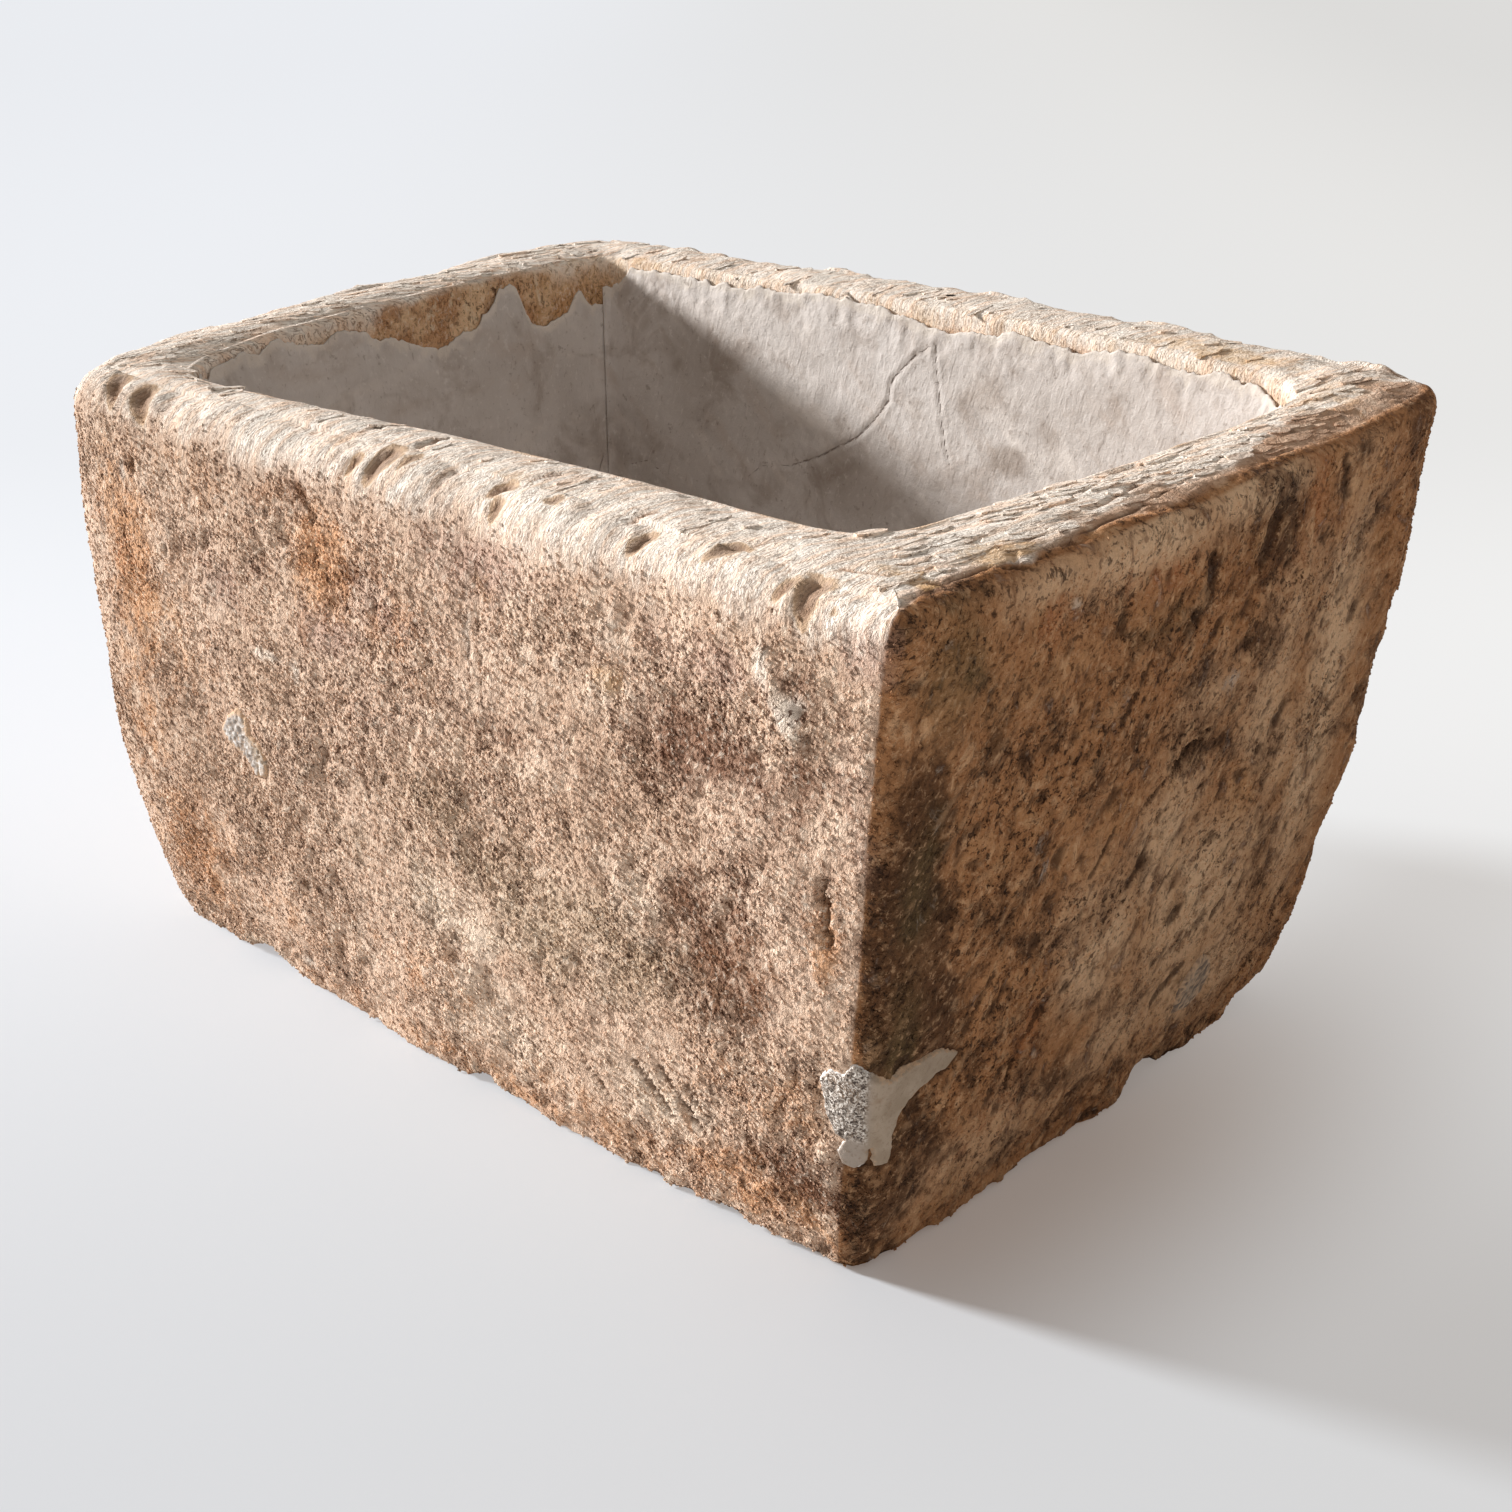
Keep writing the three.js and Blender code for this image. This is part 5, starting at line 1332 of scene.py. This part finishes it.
def cracked(face, u, v, cracks):
    """A coat's face with grooves whose sides stand up a little, and the distance from them in half widths."""
    crack = np.full(face.shape, 4.0)
    for bends, width, depth in cracks:
        nearest = line_distance(u, v, bends)
        crack = np.minimum(crack, nearest / (width / 2) + 1 - min(1.0, 0.5 + depth / 2))
        face = face - 0.4 * depth / 1000 * np.clip(1 - nearest / width, 0, 1)
        face = face + 0.00035 * min(1, depth) * np.exp(-((nearest - 1.5 * width) / width) ** 2)
    return face, crack


def coat_faces(across, up):
    """Faces of a coat: a front grid, and a flat back between its lowest and highest rows."""
    w = across + 1
    count = w * (up + 1)
    faces = []
    for r in range(up):
        for c in range(across):
            faces.append((r * w + c + 1, r * w + c, (r + 1) * w + c, (r + 1) * w + c + 1))
    for c in range(across):
        low, high = count + c, count + w + c
        faces.append((low, low + 1, high + 1, high))
        faces.append((c, c + 1, low + 1, low))
        faces.append((up * w + c + 1, up * w + c, high, high + 1))
    faces.append(tuple([r * w for r in range(up, -1, -1)] + [count, count + w]))
    faces.append(tuple([r * w + across for r in range(up + 1)] + [count + w + across, count + across]))
    return faces


def coat(name, side, spacing, seed, cracks=(), damp=(), top_edge=None):
    """One coat of render: trowelled face, ragged feathered top edge, back against the stone."""
    first, last = SIDE_STARTS[side], SIDE_STARTS[side + 1]
    length = np.linalg.norm(BASIN_CORNERS[(side + 1) % 4] - BASIN_CORNERS[side])
    across = int(length / spacing)
    share = np.linspace(0, 1, across + 1)
    column = first + share * (last - first)
    top = coat_top(column, share, side, seed, top_edge)
    foot = FLOOR + BOND_GAP + SCREED + BOND_GAP
    up = int((HEIGHT - foot) / spacing)
    v = np.linspace(0, 1, up + 1)[:, None]
    height = mix(foot, top[None, :], v)
    out = plan_outward(basin_rim, column)
    tangent = np.stack([-out[:, 1], out[:, 0]], -1)
    ends = np.zeros(across + 1)
    ends[0], ends[-1] = 0.3, -0.3
    plan = basin(column[None, :] * np.ones_like(v), height) + tangent * (ends * SHRINK_GAP)[:, None]
    wall = lift(plan, height)
    u, z = wall[..., side % 2], wall[..., 2]

    # Trowelled face, crumbling to a feather edge at the top.
    away = top[None, :] - height
    broad = rough(wall, 0.09, 2, seed + 3)
    sweep = rough(wall * np.array([0.7, 0.7, 1.6]), 0.030, 3, seed + 7)
    grit = rough(wall, 0.0075, 2, seed + 9)
    face = mix(RENDER, RENDER_EDGE, v) * np.ones_like(height)
    face = face + 0.0009 * broad + 0.0008 * sweep + 0.00030 * grit
    feather = smooth(-0.002, 0.020, away + 0.005 * rough(wall, 0.006, 3, seed + 11))
    face += smooth(0.030, 0.002, away + 0.010 * broad) * 0.0007 * rough(wall, 0.005, 2, seed + 12)
    face = mix(0.0009 + 0.0005 * grit, face, feather)
    shake = 1.6 * rough(wall, 0.012, 3, seed + 13) + 0.5 * rough(wall, 0.004, 2, seed + 14)
    face, crack = cracked(face, u * 1000 + shake, z * 1000 + shake, cracks)

    # The joint with the next coat opens here and there.
    corner_near = np.minimum(share, 1 - share)[None, :] * length
    uneven = smooth(-0.2, 0.6, rough(wall, 0.035, 3, seed + 15))
    face = face - 0.0010 * uneven * smooth(0.008, 0.0, corner_near + 0.002 * sweep)
    crack = np.minimum(crack, 0.9 + 3 * (1 - uneven) + corner_near / 0.0012)
    face = np.maximum(face, 0.0007)

    inward = np.concatenate([out, 0 * out[:, :1]], -1)[None]
    front = wall - inward * (BOND_GAP + face)[..., None]
    back = wall - inward * BOND_GAP
    points = np.concatenate([front.reshape(-1, 3), back[0], back[-1]])
    wet = patches(u, z, damp) + 0.55 * smooth(0.17, 0.07, z + 0.03 * broad)
    lime = smooth(0.012, 0.0, away + 0.006 * grit) * 0.7
    flat = lambda values, rest=0.0: np.concatenate([values.reshape(-1), np.full(2 * (across + 1), rest)])
    return make_mesh(name, points, coat_faces(across, up), {
        "crack": flat(crack, 4.0), "damp": flat(np.clip(wet, 0, 1)), "lime": flat(lime)})


def screed():
    """Floor of the basin, dished to the drain hole."""
    column = even_columns(0, 78, 0.008)
    bottom, top = FLOOR + BOND_GAP, FLOOR + BOND_GAP + SCREED
    out = plan_outward(basin_rim, column)
    edge = lambda height: basin(column, np.full(len(column), height)) - out * BOND_GAP
    toward = unit(edge(top) + MIDDLE - DRAIN)
    hole = DRAIN - MIDDLE + toward * (DRAIN_RADIUS + 0.0002)
    rows = [lift(mix(hole, edge(bottom), t), bottom) for t in (0, 0.5, 1)]
    count = 40
    for i in range(count + 1):
        t = 1 - i / count
        ring = lift(mix(hole, edge(top), t), top)
        inner = smooth(0, 0.06, t) * smooth(1, 0.95, t)
        ring[:, 2] += inner * (0.0010 * rough(ring, 0.05, 3, 401) - 0.0022 * (1 - t))
        rows.append(ring)
    grid = np.stack(rows)
    top_rows = np.arange(len(rows))[:, None] > 2
    wet = np.where(top_rows, smooth(0.16, 0.02, np.linalg.norm(grid[..., :2] - DRAIN, axis=-1)), 0)
    none = np.zeros(grid.shape[:2])
    return make_mesh("screed", grid, ring_faces(*grid.shape[:2]), {
        "damp": 0.35 + 0.6 * wet, "crack": none + 4, "lime": none})


# Pieces
def dress(thing, material, node):
    thing.data.materials.clear()
    thing.data.materials.append(material)
    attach(thing, "root")
    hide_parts(node)


stone_finish, cement, mortar_stuff = hewn_stone_finish(), cement_finish(), mortar_finish()
stone = block()
grains = scatter_tree()
FINE = dict(Least_size=(0.0010, 0.0009, 0.0008), Largest_size=(0.0023, 0.0020, 0.0017),
            Turn=(0.28, 0.28, 3.1), Break=(0.0009, 0.0009, 0.0008), Break_size=0.0016, Corners=5)
SLIVERS = dict(Least_size=(0.0009, 0.0007, 0.0005), Largest_size=(0.0028, 0.0020, 0.0011),
               Turn=(0.3, 0.3, 2.6), Break=(0.0012, 0.0012, 0.0009), Break_size=0.0018, Corners=4)
PLATES = dict(Least_size=(0.006, 0.0025, 0.0005), Largest_size=(0.024, 0.008, 0.0014),
              Turn=(0.02, 0.02, 0.14), Break=(0.004, 0.004, 0.0008), Break_size=0.006, Corners=9)
# Name, the share that they follow, how many to a square metre, seed and sizes.
STREWN = [
    ("grit_front_left", "grit_front_left", 190000.0, 3, FINE),
    ("grit_front_right", "grit_front_right", 190000.0, 4, FINE),
    ("grit_end", "grit_end", 120000.0, 5, SLIVERS),
    ("grit_far", "grit_far", 45000.0, 6, FINE),
    ("rim_flakes", "flaky", 26000.0, 9, PLATES),
]
for name, share, density, seed, sizes in STREWN:
    piece = strewn(grains, name, stone, stone_finish, Where=share, Density=density, Seed=seed, **sizes)
    dress(piece, stone_finish, "stone_trough")
drop_shares(stone, SCATTER_SHARES)
dress(stone, stone_finish, "stone_trough")
for name in REPAIRS:
    dress(mortar(name), mortar_stuff, REPAIRS[name][0])
for lining, node in (
        (coat("front_coat", 0, 0.005, 310), "render_front"),
        (coat("right_coat", 1, 0.005, 320), "render_right_end"),
        (coat("back_coat", 2, 0.0016, 330, BACK_CRACKS, BACK_DAMP, BACK_EDGE), "render_back"),
        (coat("left_coat", 3, 0.0016, 340, LEFT_CRACKS, LEFT_DAMP, LEFT_EDGE), "render_left_end"),
        (screed(), "floor_screed")):
    dress(lining, cement, node)


# Floor, light and camera
FLOOR_LIGHT = (0.95, 0.92, 0.88)  # light that falls on the open floor, left out of the seen floor's glow


def lit_or_seen(tree, lit, seen):
    """One shader for the light that things give each other, another where the camera sees them straight."""
    ray = add_node(tree, "ShaderNodeLightPath")
    return add_node(tree, "ShaderNodeMixShader", {
        0: ray.outputs["Is Camera Ray"], 1: lit.outputs[0], 2: seen.outputs[0]}).outputs[0]


def floor_paint():
    """Pale floor. Seen straight, it glows with painted light: palest behind the trough, with the sun's shadow
    painted to fade with distance.
    """
    paint = bpy.data.materials.new("studio_floor")
    paint.use_nodes = True
    tree = paint.node_tree
    tree.nodes.clear()
    where = add_node(tree, "ShaderNodeTexCoord").outputs["Object"]
    x, y = add_node(tree, "ShaderNodeSeparateXYZ", {"Vector": where}).outputs[:2]
    aside = calc(tree, "MULTIPLY_ADD", x, 0.73, calc(tree, "MULTIPLY", y, 0.68))
    away = calc(tree, "MULTIPLY_ADD", x, -0.68, calc(tree, "MULTIPLY", y, 0.73))
    far = calc(tree, "SQRT", calc(tree, "MULTIPLY_ADD", x, x, calc(tree, "MULTIPLY", y, y)))
    level = span(tree, away, -0.50, 0.35, 0.695, 0.88)
    for row in ((away, 0.45, 1.15, 0.0, -0.07), (away, 1.15, 4.5, 0.0, -0.03),
                (aside, 0.75, 1.8, 0.0, -0.055), (aside, 0.5, -0.9, -0.01, 0.06)):
        level = calc(tree, "ADD", level, span(tree, *row))
    # How much of the real shadow the seen floor keeps; the glow paints light into the rest.
    shaded = span(tree, x, 0.18, 0.28, 0.42, 0.70)
    for action, *row in (
            ("MINIMUM", x, 0.28, 0.46, 0.70, 0.31), ("MULTIPLY", y, 0.32, -0.05, 0.5, 1.0),
            ("MULTIPLY", y, -0.34, -0.20, 0.55, 1.0), ("MULTIPLY", far, 0.46, 1.10, 1.0, 0.35)):
        shaded = calc(tree, action, shaded, span(tree, *row))

    taken = vector(tree, "SCALE", (0.91, 1.0, 1.09), shaded)
    cast = coloured(tree, (0.98, 1.0, 1.04, 1), (1.01, 1.0, 0.98, 1), span(tree, aside, -1.0, 1.2))
    whole = vector(tree, "SCALE", cast, level)
    rest = vector(tree, "SUBTRACT", whole, vector(tree, "MULTIPLY", taken, FLOOR_LIGHT))
    shown = add_node(tree, "ShaderNodeBsdfDiffuse", {"Color": taken})
    glow = add_node(tree, "ShaderNodeEmission", {"Color": rest, "Strength": 1.0})
    both = add_node(tree, "ShaderNodeAddShader", {0: shown.outputs[0], 1: glow.outputs[0]})
    plain = add_node(tree, "ShaderNodeBsdfDiffuse", {"Color": (0.78, 0.78, 0.78, 1)})
    add_node(tree, "ShaderNodeOutputMaterial", {0: lit_or_seen(tree, plain, both)})
    return paint


def studio():
    """Pale floor, low soft sun from the left and an even sky."""
    corners = [(-14, -14, 0), (14, -14, 0), (14, 14, 0), (-14, 14, 0)]
    floor = make_mesh("studio_floor", corners, [(0, 1, 2, 3)])
    floor.data.materials.append(floor_paint())

    sun = bpy.data.lights.new("low_sun", "SUN")
    sun.energy = 6.0
    sun.angle = math.radians(8)
    sun.color = (1.0, 0.99, 0.98)
    travel = Vector((0.899, 0.327, -0.292))
    placed("low_sun", sun).rotation_euler = travel.to_track_quat("-Z", "Y").to_euler()

    world = bpy.data.worlds.new("sky")
    world.use_nodes = True
    tree = world.node_tree
    sky = tree.nodes["Background"]
    sky.inputs["Color"].default_value = (1.0, 0.93, 0.86, 1)
    sky.inputs["Strength"].default_value = 0.40
    backdrop = add_node(tree, "ShaderNodeBackground", {"Color": (0.80, 0.81, 0.83, 1), "Strength": 1.0})
    tree.links.new(lit_or_seen(tree, sky, backdrop), tree.nodes["World Output"].inputs["Surface"])
    bpy.context.scene.world = world


def camera():
    """The photograph's place and lens: 50 mm, 43 degrees round from the front and 25 degrees down."""
    yaw, pitch, roll = (math.radians(a) for a in (43.01, 24.74, 0.51))
    look = Vector((-math.sin(yaw) * math.cos(pitch), math.cos(yaw) * math.cos(pitch), -math.sin(pitch)))
    right = Vector((math.cos(yaw), math.sin(yaw), 0))
    down = look.cross(right)
    across = right * math.cos(roll) + down * math.sin(roll)
    drop = down * math.cos(roll) - right * math.sin(roll)
    data = bpy.data.cameras.new("camera")
    data.sensor_width, data.lens = 36.0, 50.62
    data.clip_end = 60
    thing = placed("camera", data)
    turn = Matrix((across, -drop, -look)).transposed()
    thing.matrix_world = Matrix.Translation((0.76846, -0.79460, 0.630)) @ turn.to_4x4()
    bpy.context.scene.camera = thing


studio()
camera()
bpy.context.scene.view_settings.view_transform = "Standard"
